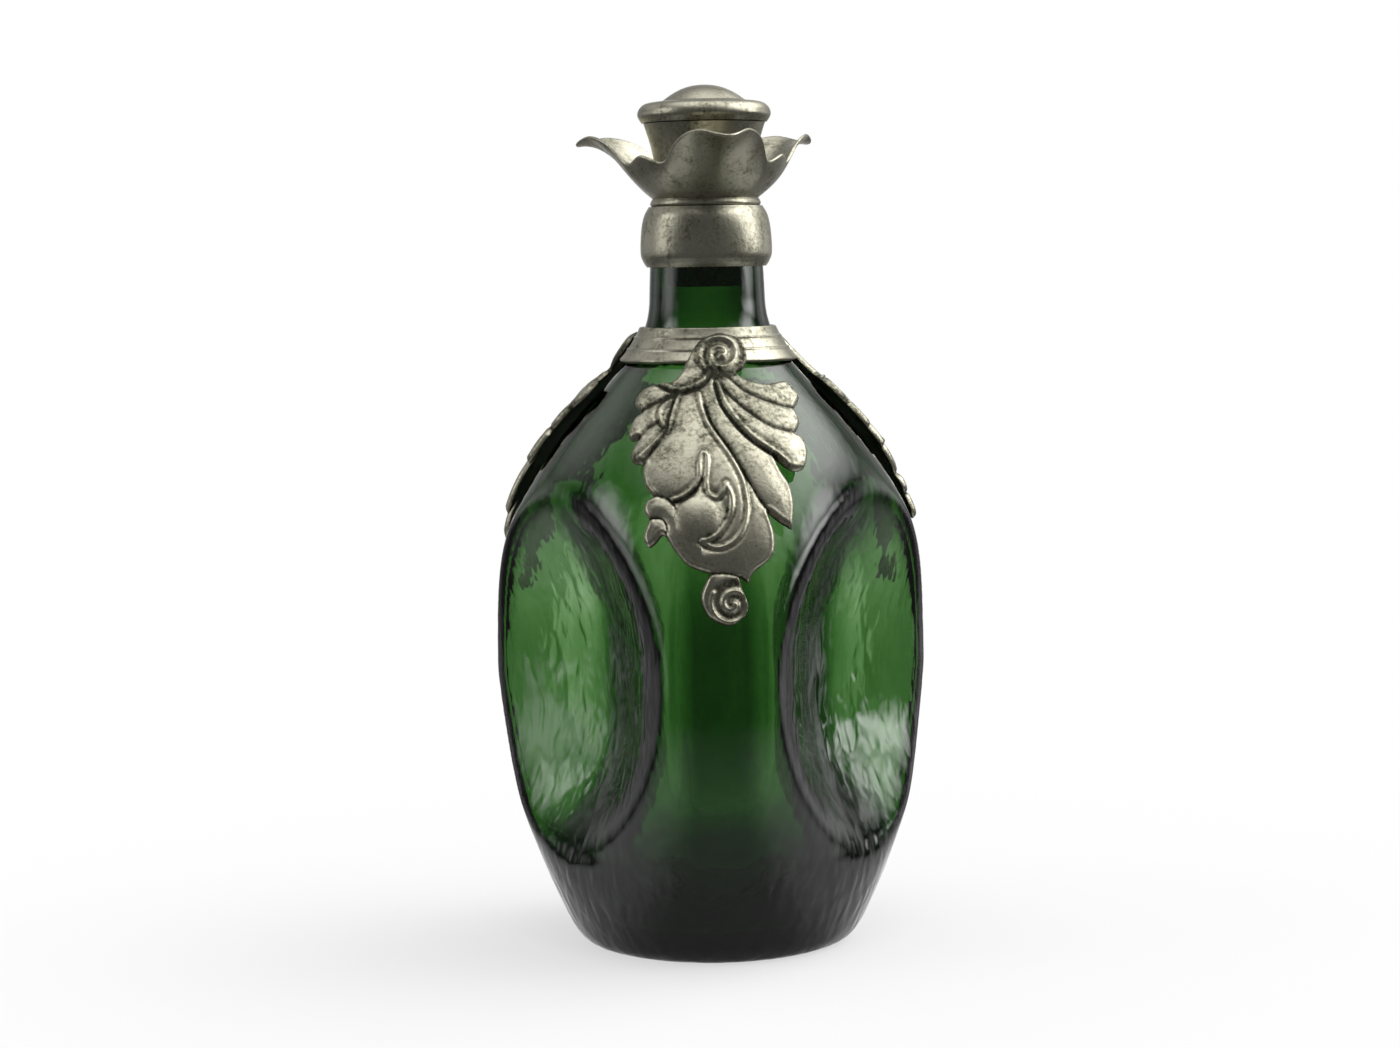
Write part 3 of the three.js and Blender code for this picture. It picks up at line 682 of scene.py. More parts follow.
marked = add_node(
    tree, "GeometryNodeStoreNamedAttribute", {"data_type": "FLOAT", "domain": "POINT"},
    {"Geometry": rippled, "Name": "pinched", "Value": uneven}).outputs[0]
real = add_node(tree, "GeometryNodeRealizeInstances", None, {"Geometry": marked}).outputs[0]
dressed = add_node(
    tree, "GeometryNodeSetMaterial", None, {"Geometry": real, "Material": given["Finish"]}).outputs[0]
add_node(tree, "NodeGroupOutput", None, {"Geometry": dressed})
print("pinch tree:", len(tree.nodes), "nodes in all")

# %% [markdown]
# Thick glass looks dark and thin glass bright, so the wall is uneven, as blown walls are. It is thicker at
# the front crest and on the inner sides of the two front pinches, and thinner high on their outer sides.
# Painted dark places would not shift with the view as these do, so the inner wall itself moves. Both
# amounts are stored on its points, where the tree reads them.

# %% Set the wall and run the tree
FLANK_THICKER = 5.5
FLANK_END = (50, 74)
RIGHT_LATER = 12
OUTER_THINNER = 1.4
OUTER_SIDE = (58, 76)
OUTER_HEIGHT = (85, 108)
FRONT_THICKER = 2.2
FRONT_FROM, FRONT_TO = (26, 40), (112, 132)
CREST_THICKER = 1.8
CREST_FROM, CREST_TO = (45, 65), (95, 120)
CREST_HALF = (6, 13)


def settle(piece, body, slot, *nodes):
    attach(piece, body)
    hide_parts(*nodes)
    faces = len(piece.data.polygons)
    print(piece.name, "rides on", body, "with", faces, "faces")


places = np.zeros(len(bottle.data.vertices) * 3, np.float32)
bottle.data.vertices.foreach_get("co", places)
x, y, height = places.reshape(-1, 3).T / MM
on_inner_wall = ridge_radius(height) - np.hypot(x, y) > GLASS_WALL / 2
turned = np.degrees(np.abs(np.arctan2(x, -y)))
later = np.where(x > 0, RIGHT_LATER, 0)
flank = 1 - smooth_share(turned, FLANK_END[0] + later, FLANK_END[1] + later)
outside = smooth_share(turned, *OUTER_SIDE) * smooth_share(height, *OUTER_HEIGHT)
front = smooth_share(height, *FRONT_FROM) * (1 - smooth_share(height, *FRONT_TO))
middle = smooth_share(height, *CREST_FROM) * (1 - smooth_share(height, *CREST_TO))
crest = 1 - smooth_share(turned, *CREST_HALF)
walls = {
    "flank_wall": FLANK_THICKER * flank - OUTER_THINNER * outside,
    "crest_wall": (FRONT_THICKER * front + CREST_THICKER * middle) * crest,
}
for name, extra in walls.items():
    layer = bottle.data.attributes.new(name, "FLOAT", "POINT")
    layer.data.foreach_set("value", (extra * on_inner_wall * MM).astype(np.float32))
grow(bottle, tree, {**PINCH_SIZES, "Ripple": RIPPLE_HEIGHT_MM * MM, "Finish": glass})
settle(bottle, "decanter", "green_glass", "glass_bottle")

# %% [markdown]
# ## Shoulder band
# The band is a strip of pewter spun to the slope of the shoulder. Its lower edge stands a little off the
# glass, and two fine lines run round it. It could be bent from a flat strip, but a closed profile turned
# about the axis gives the lines and the rounded edges in one go.

# %% Spin the band
BAND_BOTTOM = 175.4
BAND_TOP = 186.0
BAND_WALL = 1.1
BAND_FIT = 0.4
BAND_FLARE = 0.4
BAND_LINES = (178.9, 182.6)
LINE_WIDTH = 0.35
LINE_RISE = 0.28
EDGE_ROUND = 0.6
EDGE_DROP = 0.45


def stand_off(height, distance):
    slope = ridge_radius(height + 0.5) - ridge_radius(height - 0.5)
    length = np.hypot(1, slope)
    return np.stack([ridge_radius(height) + distance / length, height - distance * slope / length], -1)


def soft_ridge(away, height, width, middle=0):
    """Rounded ridge of a height and half width, whose top lies at the given distance."""
    return height * np.exp(-(((away - middle) / width) ** 2))


def band_gap(height):
    return BAND_FIT + BAND_FLARE * (BAND_TOP - height) / (BAND_TOP - BAND_BOTTOM)


rows = np.linspace(BAND_BOTTOM, BAND_TOP, 90)
line_rise = sum(soft_ridge(rows, LINE_RISE, LINE_WIDTH, line) for line in BAND_LINES)
edge = np.minimum(rows - BAND_BOTTOM, BAND_TOP - rows)
edge_drop = EDGE_DROP * (1 - np.sqrt(1 - (1 - np.clip(edge / EDGE_ROUND, 0, 1)) ** 2))
outside = stand_off(rows, band_gap(rows) + BAND_WALL + line_rise - edge_drop)
inside = stand_off(rows[::9], band_gap(rows[::9]))
band = turn_piece("shoulder_band_spun", np.vstack([outside, inside[::-1]]), pewter, 180, sharp=50)
settle(band, "decanter", "pewter", "shoulder_band")

# %% [markdown]
# ## Cast leaves
# Each leaf is a flat acanthus casting bent to the shoulder. Sculpting it by hand would be slow to repeat,
# so its relief is a height over a flat drawing: lobes swell between veins, ribs stand up along lines, and
# scrolls are ribs along a spiral. The drawing is filled with small triangles, raised by that height, and
# wrapped on the shoulder. A Geometry Nodes ring then sets three of them round the bottle.

# %% Draw the leaf
LEAF_TOP = 184.5
LEAF_START = (7, 11.5)
LEAF_STROKES = [
    [(9, 13.4), (12.8, 14.6), (16.3, 15), (20.9, 14.6), (23.5, 16.6), (25.2, 19.4), (23.1, 22.4)],
    [(24.2, 24.1), (24.7, 26.5), (23, 28.9)],
    [(25.3, 30.6), (26.5, 34.4), (25.5, 38), (23.4, 39), (20.8, 38.4), (16.8, 35.3)],
    [(18.7, 39.4), (21, 43.4), (21.8, 48.6), (21, 54.8)],
    [(17.7, 52.8), (14.3, 50)],
    [(15.9, 55.4), (15.7, 60.7), (13.1, 63.7), (10, 65.9), (8.2, 69.1)],
    [(6, 67.3)],
    [(6.5, 70.6), (7.9, 75.1), (6.7, 78.2), (2.5, 80.6), (-3, 78.1), (-5.2, 72.9), (-3.5, 67.9),
     (-2.4, 66.2)],
    [(-8.5, 63.8), (-12.6, 59.1), (-15.1, 55.6), (-17.3, 57.7), (-19.4, 58.9), (-20.7, 55.9), (-19, 51.4)],
    [(-20.4, 49), (-19.6, 46.4), (-17.6, 45.1)],
    [(-19.8, 42.3), (-20.6, 38.3), (-20, 36.4)],
    [(-22.5, 36.2), (-23.7, 34.9), (-22.9, 32.1), (-21.1, 29.6)],
    [(-23.6, 29.9), (-24.2, 27.9), (-22.6, 24.4), (-20.2, 22.5)],
    [(-22.2, 20.1), (-20.6, 17.1), (-18.4, 15.5), (-15.5, 14.6)],
    [(-11.7, 14), (-9.4, 12.3), (-6.9, 7.9), (-4.9, 4.3), (-2.5, 1.7), (0.5, 0.3), (3.4, 0), (8.4, 1.8),
     (10.4, 6.1), (9.7, 9.8), LEAF_START],
]
GROOVES = [
    [(2.1, 10.9), (5.5, 14.1), (8.9, 16.9), (14, 19.5), (18.5, 21.1), (23.1, 22.4)],
    [(1.3, 13.2), (3.3, 16.6), (7.2, 20.6), (12.3, 24.6), (16.8, 27.2), (23, 28.9)],
    [(0.6, 14.9), (2.1, 20.6), (5.5, 25.8), (10.1, 30.6), (16.8, 35.3)],
    [(14.3, 50), (12, 46.6), (9.5, 42.3), (6.7, 37.2), (3.3, 31.5), (-0.6, 26), (-2.4, 21)],
    [(-20.2, 22.5), (-17.6, 20.9), (-13.7, 19.1), (-10, 17.3)],
    [(-21.1, 29.6), (-18.5, 27), (-15.4, 25.2)],
    [(-20, 36.4), (-17.3, 32.6), (-13.6, 28.2), (-12.7, 24.6), (-11.2, 20.3), (-9.6, 17.1)],
    [(-17.6, 45.1), (-14.4, 45.6), (-12.2, 47.2), (-11.4, 48.6)],
    [(-19, 51.4), (-15.6, 51.2), (-14, 53.6), (-14.6, 56)],
    [(-12, 46.9), (-9.2, 46), (-6, 43.8), (-4, 40.8)],
    [(-2.4, 66.2), (2.1, 66.2), (6, 67.3)],
    [(-15.5, 15.2), (-12, 16.8), (-9.2, 17.6), (-5.6, 16.8), (-2.2, 15), (-0.4, 12)],
]
RIBS = [
    [(-4.1, 17.8), (-3.2, 21.8), (-1.8, 25.8), (1, 30.3), (3.8, 34.3), (6.1, 38.3), (7.5, 41.8), (8.2, 46),
     (8.3, 49.4), (7.4, 53.2), (5.4, 56.6), (2.7, 58.6), (-0.1, 59.2), (-2.7, 58.6), (-4.4, 57.5)],
    [(2.7, 42.6), (4.1, 45.8), (3.8, 49.8), (2.1, 53.2), (-0.1, 55.8), (-2.7, 57.2), (-4.4, 57.5)],
    [(-12, 46.3), (-9.2, 45.3), (-6.3, 43), (-4.7, 40.2), (-4.4, 36.1), (-3.4, 34), (-2.2, 35.2),
     (-2.4, 38.6), (-2.8, 42.1), (-2.1, 44.7), (0, 45.9), (1.9, 44.1), (2.7, 42.5)],
    [(-14.8, 14.3), (-12, 15.9), (-9.2, 16.7), (-5.8, 15.8), (-2.7, 14.2), (-1.1, 11.4)],
    [(-21.3, 35.2), (-17.1, 31.4), (-13, 27.3), (-12.1, 24.4), (-10.5, 20.1), (-9.2, 17.1)],
    [(-11.1, 19.4), (-14.2, 21.5), (-15.1, 24.1), (-14.2, 26.1), (-13, 26.9)],
    [(1.6, 14), (3, 19.8), (6.3, 24.9), (10.8, 29.7), (17.2, 34.3), (20, 37)],
]
BOSS = (-5.4, 51.6)
BOSS_RADIUS = 6.3
TOP_EYE = (2.6, 6.8)
LOW_EYE = (3.6, 74.6)


def hermite(start, end, enter, leave, share):
    """Smooth way from start to end, with the slopes that it enters and leaves with."""
    return (
        start + enter * share + (3 * (end - start) - 2 * enter - leave) * share**2
        + (2 * (start - end) + enter + leave) * share**3)


def spline(points, steps):
    """Curve through points, as a draughtsman's spline draws it."""
    p = np.asarray(points, float)
    p = np.vstack([p[:1], p, p[-1:]])
    share = np.arange(steps)[:, None] / steps
    curve = [hermite(b, c, (c - a) / 2, (d - b) / 2, share) for a, b, c, d in zip(p, p[1:], p[2:], p[3:])]
    return np.vstack(curve + [p[-1:]])


def swirl(eye, start, sweep, wide, narrow, steps=90):
    share = np.linspace(0, 1, steps)
    angle = np.radians(start + sweep * share)
    radius = wide + (narrow - wide) * share
    return np.stack([eye[0] + radius * np.cos(angle), eye[1] - radius * np.sin(angle)], -1)


SCROLLS = [swirl(TOP_EYE, 215, -640, 6.1, 0.9), swirl(LOW_EYE, 150, 560, 6.3, 0.9)]
edge_strokes = []
last = LEAF_START
for stroke in LEAF_STROKES:
    edge_strokes.append(spline([last] + stroke, 6)[:-1])
    last = stroke[-1]
leaf_edge = np.vstack(edge_strokes)
print("leaf outline of", len(leaf_edge), "points")

# %% Fill the drawing with small triangles
LEAF_SPACING = 0.42
ROW_SHARE = 0.866
EDGE_CLEAR = 0.45


def distance_to(points, line):
    nearest = np.full(len(points), np.inf)
    for a, b in zip(line, line[1:]):
        way = b - a
        along = np.clip((points - a) @ way / max(way @ way, 1e-12), 0, 1)
        nearest = np.minimum(nearest, np.hypot(*(points - a - along[:, None] * way).T))
    return nearest


def inside_edge(points, loop):
    inside = np.zeros(len(points), bool)
    for (ax, ay), (bx, by) in zip(loop, np.roll(loop, -1, 0)):
        crosses = (ay > points[:, 1]) != (by > points[:, 1])
        reach = ax + (points[:, 1] - ay) * (bx - ax) / (by - ay if by != ay else 1e-12)
        inside ^= crosses & (points[:, 0] < reach)
    return inside


def closed(loop):
    return np.vstack([loop, loop[:1]])


low, high = leaf_edge.min(0), leaf_edge.max(0)
lattice = []
for i, below in enumerate(np.arange(low[1], high[1], LEAF_SPACING * ROW_SHARE)):
    across = np.arange(low[0] + (i % 2) * LEAF_SPACING / 2, high[0], LEAF_SPACING)
    lattice.append(np.stack([across, np.full(len(across), below)], -1))
lattice = np.vstack(lattice)
lattice = lattice[inside_edge(lattice, leaf_edge)]
lattice = lattice[distance_to(lattice, closed(leaf_edge)) > LEAF_SPACING * EDGE_CLEAR]
spots = np.vstack([leaf_edge, lattice])
rim = list(range(len(leaf_edge)))
found = delaunay_2d_cdt([Vector(p) for p in spots], [], [rim], 1, 1e-5)
flat_points = np.array([tuple(p) for p in found[0]])
flat_faces = [list(f) for f in found[2]]
print("leaf drawing:", len(flat_points), "points,", len(flat_faces), "triangles")

# %% [markdown]
# The relief is a height for every point of the drawing. Bump could hint at it, but it would look flat
# from the side, so the points really rise. The height is worked out from how far a point lies from the
# edge, the grooves, the ribs and the scrolls. The same distances tell where the hollows are, and so where
# the dark film of the finish stays. Each row below is a soft ridge: its height, its half width and, where
# it runs beside its line, how far off.

# %% Raise the relief
GROOVE_CUT = (0.32, 0.34)
RIB_RISE = (0.45, 0.5)
RIB_SIDES = (0.22, 0.45, 1.1)
COIL_RISE = (0.95, 0.8)
EYE_RISE = (0.8, 1.3)
CRESCENT_CUT = (0.5, 1.4, 1.7)
BORDER_RISE = (0.22, 0.5, 1.1)
GROOVE_FILM = (0.6, 0.4)
RIB_FILM = (0.3, 0.4, 1.0)
SHEET = 0.35
LEAST_SHEET = 0.3
EDGE_RISE = 1.0
EDGE_WIDTH = 1.1
LOBE_RISE = 0.9
LOBE_WIDTH = 2.3
LOBE_ON_BOSS = 0.6
BOSS_RISE = 1.5
CRESCENT_FROM = -4.5
TOP_SCROLL, LOW_SCROLL = (6.5, 8.0), (6.0, 7.2)
COIL_GAP = (0.6, 1.5)
COIL_FILM = 0.4
CRESCENT_FILM = 0.25
UPPER_FILM = 0.2
UPPER_REACH = (16, 46)


def relief(points):
    """Height over the drawing in millimetres, and how deep in a hollow each point lies."""
    edge = distance_to(points, closed(leaf_edge))
    groove = np.min([distance_to(points, spline(line, 6)) for line in GROOVES], 0)
    rib = np.min([distance_to(points, spline(line, 6)) for line in RIBS], 0)
    scroll = np.min([distance_to(points, line) for line in SCROLLS], 0)
    to_top, to_low, to_boss = (np.hypot(*(points - spot).T) for spot in (TOP_EYE, LOW_EYE, BOSS))
    in_scroll = 1 - np.minimum(smooth_share(to_top, *TOP_SCROLL), smooth_share(to_low, *LOW_SCROLL))
    in_boss = 1 - smooth_share(to_boss, BOSS_RADIUS * 0.9, BOSS_RADIUS * 1.05)
    rim = 1 - np.clip(edge / EDGE_WIDTH, 0, 1)
    lobe = LOBE_RISE * (1 - np.exp(-np.minimum(edge, groove) / LOBE_WIDTH)) * (1 - LOBE_ON_BOSS * in_boss)
    on_lobes = lobe - soft_ridge(groove, *GROOVE_CUT) + soft_ridge(edge, *BORDER_RISE)
    ribs = soft_ridge(rib, *RIB_RISE) - soft_ridge(rib, *RIB_SIDES)
    coil = soft_ridge(scroll, *COIL_RISE) * in_scroll
    eye = soft_ridge(np.minimum(to_top, to_low), *EYE_RISE)
    dome = BOSS_RISE * np.sqrt(np.clip(1 - (to_boss / BOSS_RADIUS) ** 2, 0, 1))
    crescent = soft_ridge(to_boss - BOSS_RADIUS, *CRESCENT_CUT) * (points[:, 0] > CRESCENT_FROM)
    height = SHEET + EDGE_RISE * np.sqrt(1 - rim**2)
    height += on_lobes * (1 - in_scroll) + ribs + coil + eye + dome - crescent
    hollow = soft_ridge(groove, *GROOVE_FILM) + soft_ridge(rib, *RIB_FILM) + CRESCENT_FILM * crescent
    hollow += COIL_FILM * in_scroll * smooth_share(scroll, *COIL_GAP)
    hollow += UPPER_FILM * (1 - smooth_share(points[:, 1], *UPPER_REACH))
    return np.maximum(height, LEAST_SHEET), np.clip(hollow, 0, 1)


leaf_height, leaf_hollow = relief(flat_points)
print("leaf relief up to", round(float(leaf_height.max()), 2), "mm")

# %% Bend the leaf to the shoulder
LEAF_FIT = 0.35
LEAF_BOW = 1.8
SHELL_MARGIN = 4
UNDER_FILM = 0.8
leaf_low = LEAF_TOP - flat_points[:, 1].max() - SHELL_MARGIN
over_band = BAND_FIT + BAND_FLARE + BAND_WALL + LEAF_FIT
shell_height = np.linspace(leaf_low, LEAF_TOP + SHELL_MARGIN, 300)
rise = smooth_share(shell_height, leaf_low, BAND_BOTTOM)
shell = stand_off(shell_height, LEAF_FIT + (over_band - LEAF_FIT) * rise + 4 * LEAF_BOW * rise * (1 - rise))


def wrap(points, height):
    """Bend drawn points round the shoulder and lift them square to it."""
    up = LEAF_TOP - points[:, 1]
    radius = np.interp(up, shell[:, 1], shell[:, 0])
    slope = (np.interp(up + 1, shell[:, 1], shell[:, 0]) - np.interp(up - 1, shell[:, 1], shell[:, 0])) / 2
    depth = np.sqrt(radius**2 - points[:, 0] ** 2)
    tilt = np.hypot(1, slope)
    square = np.stack([points[:, 0] / radius / tilt, -depth / radius / tilt, -slope / tilt], -1)
    return np.stack([points[:, 0], -depth, up], -1) + square * height[:, None]


count = len(flat_points)
top_side = wrap(flat_points, leaf_height)
under_side = wrap(flat_points, np.zeros(count))
edges = dict.fromkeys(pair for face in flat_faces for pair in zip(face, face[1:] + face[:1]))
border = [(a, b) for a, b in edges if (b, a) not in edges]
faces = flat_faces + [[i + count for i in reversed(f)] for f in flat_faces]
faces += [[b, a, a + count, b + count] for a, b in border]
leaves = make_piece("cast_leaves", np.vstack([top_side, under_side]), faces, pewter, sharp=60)
hollow = leaves.data.attributes.new("recess", "FLOAT", "POINT")
both_sides = np.concatenate([leaf_hollow, np.full(count, UNDER_FILM)])
hollow.data.foreach_set("value", both_sides.astype(np.float32))
print("one leaf of", len(leaves.data.polygons), "faces")

# %% Set three leaves round the bottle
tree = new_tree("ring_of_copies", [("Copies", "NodeSocketInt"), ("Finish", "NodeSocketMaterial")])
given = add_node(tree, "NodeGroupInput").outputs
posts = add_node(tree, "GeometryNodePoints", None, {"Count": given["Copies"]}).outputs[0]
number = add_node(tree, "GeometryNodeInputIndex").outputs[0]
step = add_node(
    tree, "ShaderNodeMath", {"operation": "DIVIDE"}, {0: math.tau, 1: given["Copies"]}).outputs[0]
angle = add_node(tree, "ShaderNodeMath", {"operation": "MULTIPLY"}, {0: number, 1: step}).outputs[0]
turn = add_node(tree, "ShaderNodeCombineXYZ", None, {2: angle}).outputs[0]
copies = add_node(
    tree, "GeometryNodeInstanceOnPoints", None,
    {"Points": posts, "Instance": given["Geometry"], "Rotation": turn}).outputs[0]
real = add_node(tree, "GeometryNodeRealizeInstances", None, {"Geometry": copies}).outputs[0]
dressed = add_node(
    tree, "GeometryNodeSetMaterial", None, {"Geometry": real, "Material": given["Finish"]}).outputs[0]
add_node(tree, "NodeGroupOutput", None, {"Geometry": dressed})
grow(leaves, tree, {"Copies": 3, "Finish": pewter})
settle(leaves, "decanter", "pewter", "leaf_front", "leaf_right", "leaf_left")

# %% [markdown]
# ## Collar
# The collar is a spun barrel closed over the glass lip and bedded in plaster. Both are turned. A bevel
# would round all edges alike, so each corner of a profile gets its own rounding instead, and the collar's
# edges roll in.

# %% Turn the collar and its bed
COLLAR_TOP = 222.2
COLLAR_BOTTOM = 204.2
COLLAR_WALL = 1.5
COLLAR_LIP = 1.2
COLLAR_BULGE = 0.6
LIP_FIT = 0.3
CEMENT_BED = 1.0
CEMENT_FIT = 0.15
TOP_WALL = 1.4


def soften(corners, radii, steps=5):
    """Closed outline whose corners are rounded off by the given lengths."""
    corners = np.asarray(corners, float)
    outline = []
    for i, cut in enumerate(radii):
        here = corners[i]
        if cut == 0:
            outline.append(here[None])
            continue
        ends = []
        for other in (corners[i - 1], corners[(i + 1) % len(corners)]):
            way = other - here
            span = np.linalg.norm(way)
            ends.append(here + way / span * min(cut, span * 0.45))
        outline.append(bezier([ends[0], here, ends[1]], steps))
    return np.vstack(outline)


lip_reach = ridge_radius(COLLAR_BOTTOM) + LIP_FIT
bed = CEMENT_BED + 2 * CEMENT_FIT
ledge = COLLAR_BOTTOM + COLLAR_LIP
under = LIP_HEIGHT + LIP_FIT
low_bed = ridge_radius(ledge + COLLAR_LIP) + bed
high_bed = LIP_RADIUS + bed
mouth = BORE_RADIUS + LIP_FIT
barrel = spline([
    (lip_reach + COLLAR_BULGE, COLLAR_BOTTOM),
    (low_bed + COLLAR_WALL * 0.5, ledge + COLLAR_LIP * 0.4),
    (low_bed + COLLAR_WALL, ledge + COLLAR_LIP * 2.6),
    ((low_bed + high_bed) / 2 + COLLAR_WALL, ledge + (under - ledge) * 0.62),
    (high_bed + COLLAR_WALL * 0.6, under - TOP_WALL),
    (high_bed - COLLAR_BULGE, COLLAR_TOP),
], 10)
collar_loop = np.vstack([barrel, soften([
    (mouth, COLLAR_TOP), (mouth, under), (high_bed - COLLAR_BULGE, under), (high_bed, under - TOP_WALL),
    (low_bed, ledge + COLLAR_LIP), (lip_reach, ledge), (lip_reach, COLLAR_BOTTOM)],
    [0.4, 0, 0, 0, 0, 0, 0.3])])
collar = turn_piece("lip_collar_spun", collar_loop, pewter, 160, sharp=50)
settle(collar, "decanter", "pewter", "lip_collar")
low_cement = COLLAR_BOTTOM + 2 * COLLAR_LIP + LIP_FIT
high_cement = LIP_HEIGHT + LIP_FIT - TOP_WALL
low_glass = ridge_radius(low_cement) + CEMENT_FIT
high_glass = ridge_radius(high_cement) + CEMENT_FIT
cement_loop = soften([
    (low_glass + CEMENT_BED, low_cement), (high_glass + CEMENT_BED, high_cement),
    (high_glass, high_cement), (low_glass, low_cement)], [0.3] * 4)
cement = turn_piece("collar_bed", cement_loop, plaster, 96)
settle(cement, "decanter", "cement", "collar_cement")

# %% [markdown]
# ## Petal cup
# The cup is one casting: three long petals whose tips roll outwards, and a low lobe between each two. A
# bowl's rim could be pulled out by hand, but the petals should be alike and keep one wall, so the shape
# is worked out. Its rim is given at a few angles from a petal's middle as a reach, a rise and a slope,
# and a smooth curve runs between them. Each meridian is then a Bezier curve from the round foot to that
# rim.

# %% Shape the rim
PETAL_STEP = 120
PETAL_TURN = 8.0
CUP_COLUMNS = 360
RIM_TURNS = np.array([-12, 0, 12, 25, 38, 60, 82.0])
RIM_STATIONS = np.array([
    (35.4, 20.8, 28), (41, 18.8, -8), (35.4, 20.8, 28), (29.48, 18.49, 55), (25, 12.6, 66), (25, 14.4, 72),
    (25, 12.6, 66)])


def rim_at(turn):
    """Reach, rise and end slope at an angle from a petal's middle."""
    fold = np.abs(turn - PETAL_STEP * np.round(turn / PETAL_STEP))
    i = np.clip(np.searchsorted(RIM_TURNS, fold, "right") - 1, 1, len(RIM_TURNS) - 3)
    step = np.diff(RIM_STATIONS, axis=0) / np.diff(RIM_TURNS)[:, None]
    slope = (step[:-1] + step[1:]) / 2
    span = (RIM_TURNS[i + 1] - RIM_TURNS[i])[:, None]
    share = (fold[:, None] - RIM_TURNS[i][:, None]) / span
    return hermite(RIM_STATIONS[i], RIM_STATIONS[i + 1], slope[i - 1] * span, slope[i] * span, share)


azimuths = np.arange(CUP_COLUMNS) * 360 / CUP_COLUMNS
reach, rise, slope = rim_at(azimuths - PETAL_TURN).T
print("the rim reaches", round(reach.min(), 1), "to", round(reach.max(), 1), "mm")

# %% Cast the cup
CUP_WALL = 1.3
RIM_THINNER = 0.25
CUP_FOOT_RISE = 2.4
CUP_LEAN = math.radians(38)
CUP_HANDLE = 0.36
CUP_BORE = 14.6
CUP_FOOT = CUP_BORE + CUP_WALL
CUP_ROWS = 40
RIM_ROWS = 7
FOOT_BEAD = [(0.0, 0.0), (0.55, 0.25), (0.75, 0.95), (0.45, 1.7)]
THROAT = [(0.0, 1.6), (0.0, 0.0)]


def level_row(radius, rise):
    return np.broadcast_to((radius, COLLAR_TOP + rise), (1, CUP_COLUMNS, 2))


arrive = np.radians(slope)
start = level_row(CUP_FOOT, CUP_FOOT_RISE)[0]
end = np.stack([reach, COLLAR_TOP + rise], -1)
handle = np.hypot(*(end - start).T)[:, None] * CUP_HANDLE
leave_way = np.array([math.cos(CUP_LEAN), math.sin(CUP_LEAN)])
arrive_way = np.stack([np.cos(arrive), np.sin(arrive)], -1)
controls = [start, start + handle * leave_way, end - handle * arrive_way, end]
share = np.linspace(0, 1, CUP_ROWS)[:, None, None]
blend = [(1 - share) ** 3, 3 * (1 - share) ** 2 * share, 3 * (1 - share) * share**2, share**3]
meridian = sum(w * c for w, c in zip(blend, controls))
along = np.gradient(meridian, axis=0)
along /= np.linalg.norm(along, axis=-1, keepdims=True)
square = np.stack([-along[..., 1], along[..., 0]], -1)
inner_side = meridian + square * CUP_WALL * (1 - RIM_THINNER * share)
bend = np.linspace(0, 1, RIM_ROWS)[1:-1, None, None] * math.pi
centre = (meridian[-1] + inner_side[-1]) / 2
half = (meridian[-1] - inner_side[-1]) / 2
half_wall = np.linalg.norm(half, axis=-1, keepdims=True)
rim_round = centre + half * np.cos(bend) + along[-1] * half_wall * np.sin(bend)
foot = [level_row(CUP_FOOT + out, up) for out, up in FOOT_BEAD]
throat = [level_row(CUP_BORE + out, up) for out, up in THROAT]
cup_rows = np.concatenate([*foot, meridian, rim_round, inner_side[::-1], *throat])
cup_faces = grid_faces(len(cup_rows), CUP_COLUMNS, True)
cup = make_piece("petal_cup_cast", swept_points(cup_rows), cup_faces, pewter, sharp=60)
settle(cup, "decanter", "pewter", "petal_cup")

# %% [markdown]
# ## Stopper
# The stopper's head is a flared cup with a domed cap soldered on it, and the cork is held under it by a
# headed stud. Scaled rings of a cylinder could make them, but on the lathe each is one profile, and the
# same done here keeps every size under its own name. The head and the cork turn together, and the stud
# carries them up.

# %% Turn the skirt
SKIRT_BOTTOM = 222.5
SKIRT_TOP = 246.9
SKIRT_FOOT = 14.3
SKIRT_RADIUS = 18.2
SKIRT_WAIST = 1.2
SKIRT_WALL = 1.3
PLATE_TOP = 223.9
PLATE_GAP = 0.3
STUD_HOLE = 2.7
waist = (SKIRT_FOOT + SKIRT_RADIUS) / 2 - 2 * SKIRT_WAIST
middle = (SKIRT_BOTTOM + SKIRT_TOP) / 2
flare = bezier([(SKIRT_FOOT, SKIRT_BOTTOM), (waist, middle), (SKIRT_RADIUS, SKIRT_TOP)], 40)
flare_in = bezier(
    [(SKIRT_FOOT - SKIRT_WALL, SKIRT_BOTTOM), (waist - SKIRT_WALL, middle),
     (SKIRT_RADIUS - SKIRT_WALL, SKIRT_TOP)], 20)[3:]
skirt_loop = np.vstack([
    [(STUD_HOLE, SKIRT_BOTTOM)], flare, flare_in[::-1],
    [(SKIRT_FOOT - SKIRT_WALL - PLATE_GAP, PLATE_TOP), (STUD_HOLE, PLATE_TOP)]])
skirt = turn_piece("stopper_skirt_spun", skirt_loop, pewter, 144, sharp=40)
settle(skirt, "stopper_head", "pewter", "stopper_skirt")

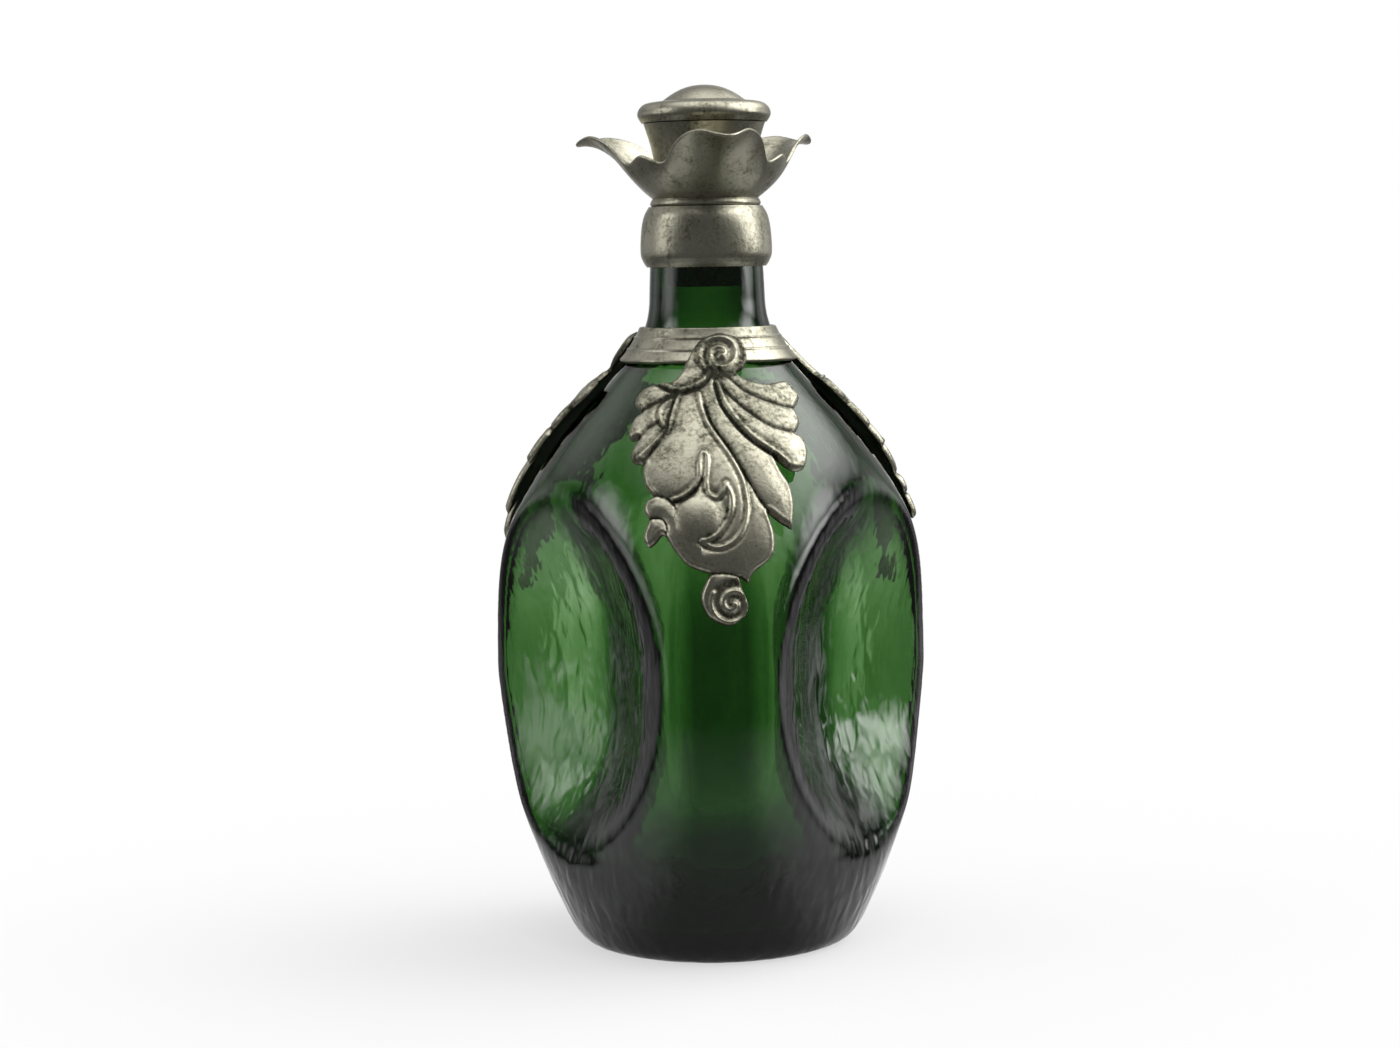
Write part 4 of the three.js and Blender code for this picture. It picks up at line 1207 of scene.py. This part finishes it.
# %% Turn the dome
RIM_BOTTOM = 247.2
RIM_TOP = 253.6
RIM_RADIUS = 20.0
ROLL = [(0, 2.2), (-0.7, 4.4), (-2.8, 5.8)]
DOME_RADIUS = 12.6
DOME_WALL = 1.4
APEX = 258.4
CAP_SEAT = 1.6
seat = SKIRT_RADIUS - SKIRT_WALL
roll = spline([
    (SKIRT_RADIUS + SKIRT_WALL / 2, RIM_BOTTOM),
    *((RIM_RADIUS + out, RIM_BOTTOM + up) for out, up in ROLL),
    (DOME_RADIUS, RIM_TOP)], 10)
crown = bezier(
    [(DOME_RADIUS, RIM_TOP), (DOME_RADIUS * 0.78, RIM_TOP + 2.0), (DOME_RADIUS * 0.5, APEX), (0, APEX)], 24)
dome_profile = np.vstack([
    [(0, APEX - 2 * DOME_WALL), (DOME_RADIUS - DOME_WALL, RIM_TOP - DOME_WALL),
     (seat, RIM_BOTTOM + CAP_SEAT), (seat, RIM_BOTTOM)], roll, crown[1:]])
dome = turn_piece("stopper_dome_spun", dome_profile, pewter, 144, ring=False, sharp=50)
settle(dome, "stopper_head", "pewter", "stopper_dome")

# %% Turn the stud and the cork
CORK_TOP = 222.2
CORK_BOTTOM = 198.2
CORK_RADIUS = 12.1
CORK_TIP = 11.6
TOP_BEVEL = 0.5
TIP_BEVEL = 0.8
STUD_RADIUS = 2.4
STUD_BOTTOM = 205.2
STUD_HEAD = 224.2
STUD_HEAD_RADIUS = 5.0
STUD_TOP = STUD_HEAD + 2
STUD_GAP = 0.3
stud_profile = np.vstack([
    [(0, STUD_BOTTOM)],
    soften([(STUD_RADIUS, STUD_BOTTOM), (STUD_RADIUS, STUD_HEAD), (STUD_HEAD_RADIUS, STUD_HEAD),
            (STUD_HEAD_RADIUS, STUD_TOP), (0, STUD_TOP)], [0.5, 0, 0.2, 1.2, 0])])
stud = turn_piece("cork_stud_turned", stud_profile, pewter, 48, ring=False)
settle(stud, "stopper_core", "pewter", "cork_stud")
cork_side = np.linspace((CORK_TIP, CORK_BOTTOM + TIP_BEVEL), (CORK_RADIUS, CORK_TOP - TOP_BEVEL), 14)
well = STUD_BOTTOM - STUD_GAP
cork_profile = np.vstack([
    [(0, CORK_BOTTOM), (CORK_TIP - TIP_BEVEL, CORK_BOTTOM)], cork_side,
    [(CORK_RADIUS - TOP_BEVEL, CORK_TOP), (STUD_HOLE, CORK_TOP), (STUD_HOLE, well), (0, well)]])
stopper = turn_piece("stopper_cork_cut", cork_profile, cork, 96, ring=False)
settle(stopper, "stopper_head", "cork", "stopper_cork")
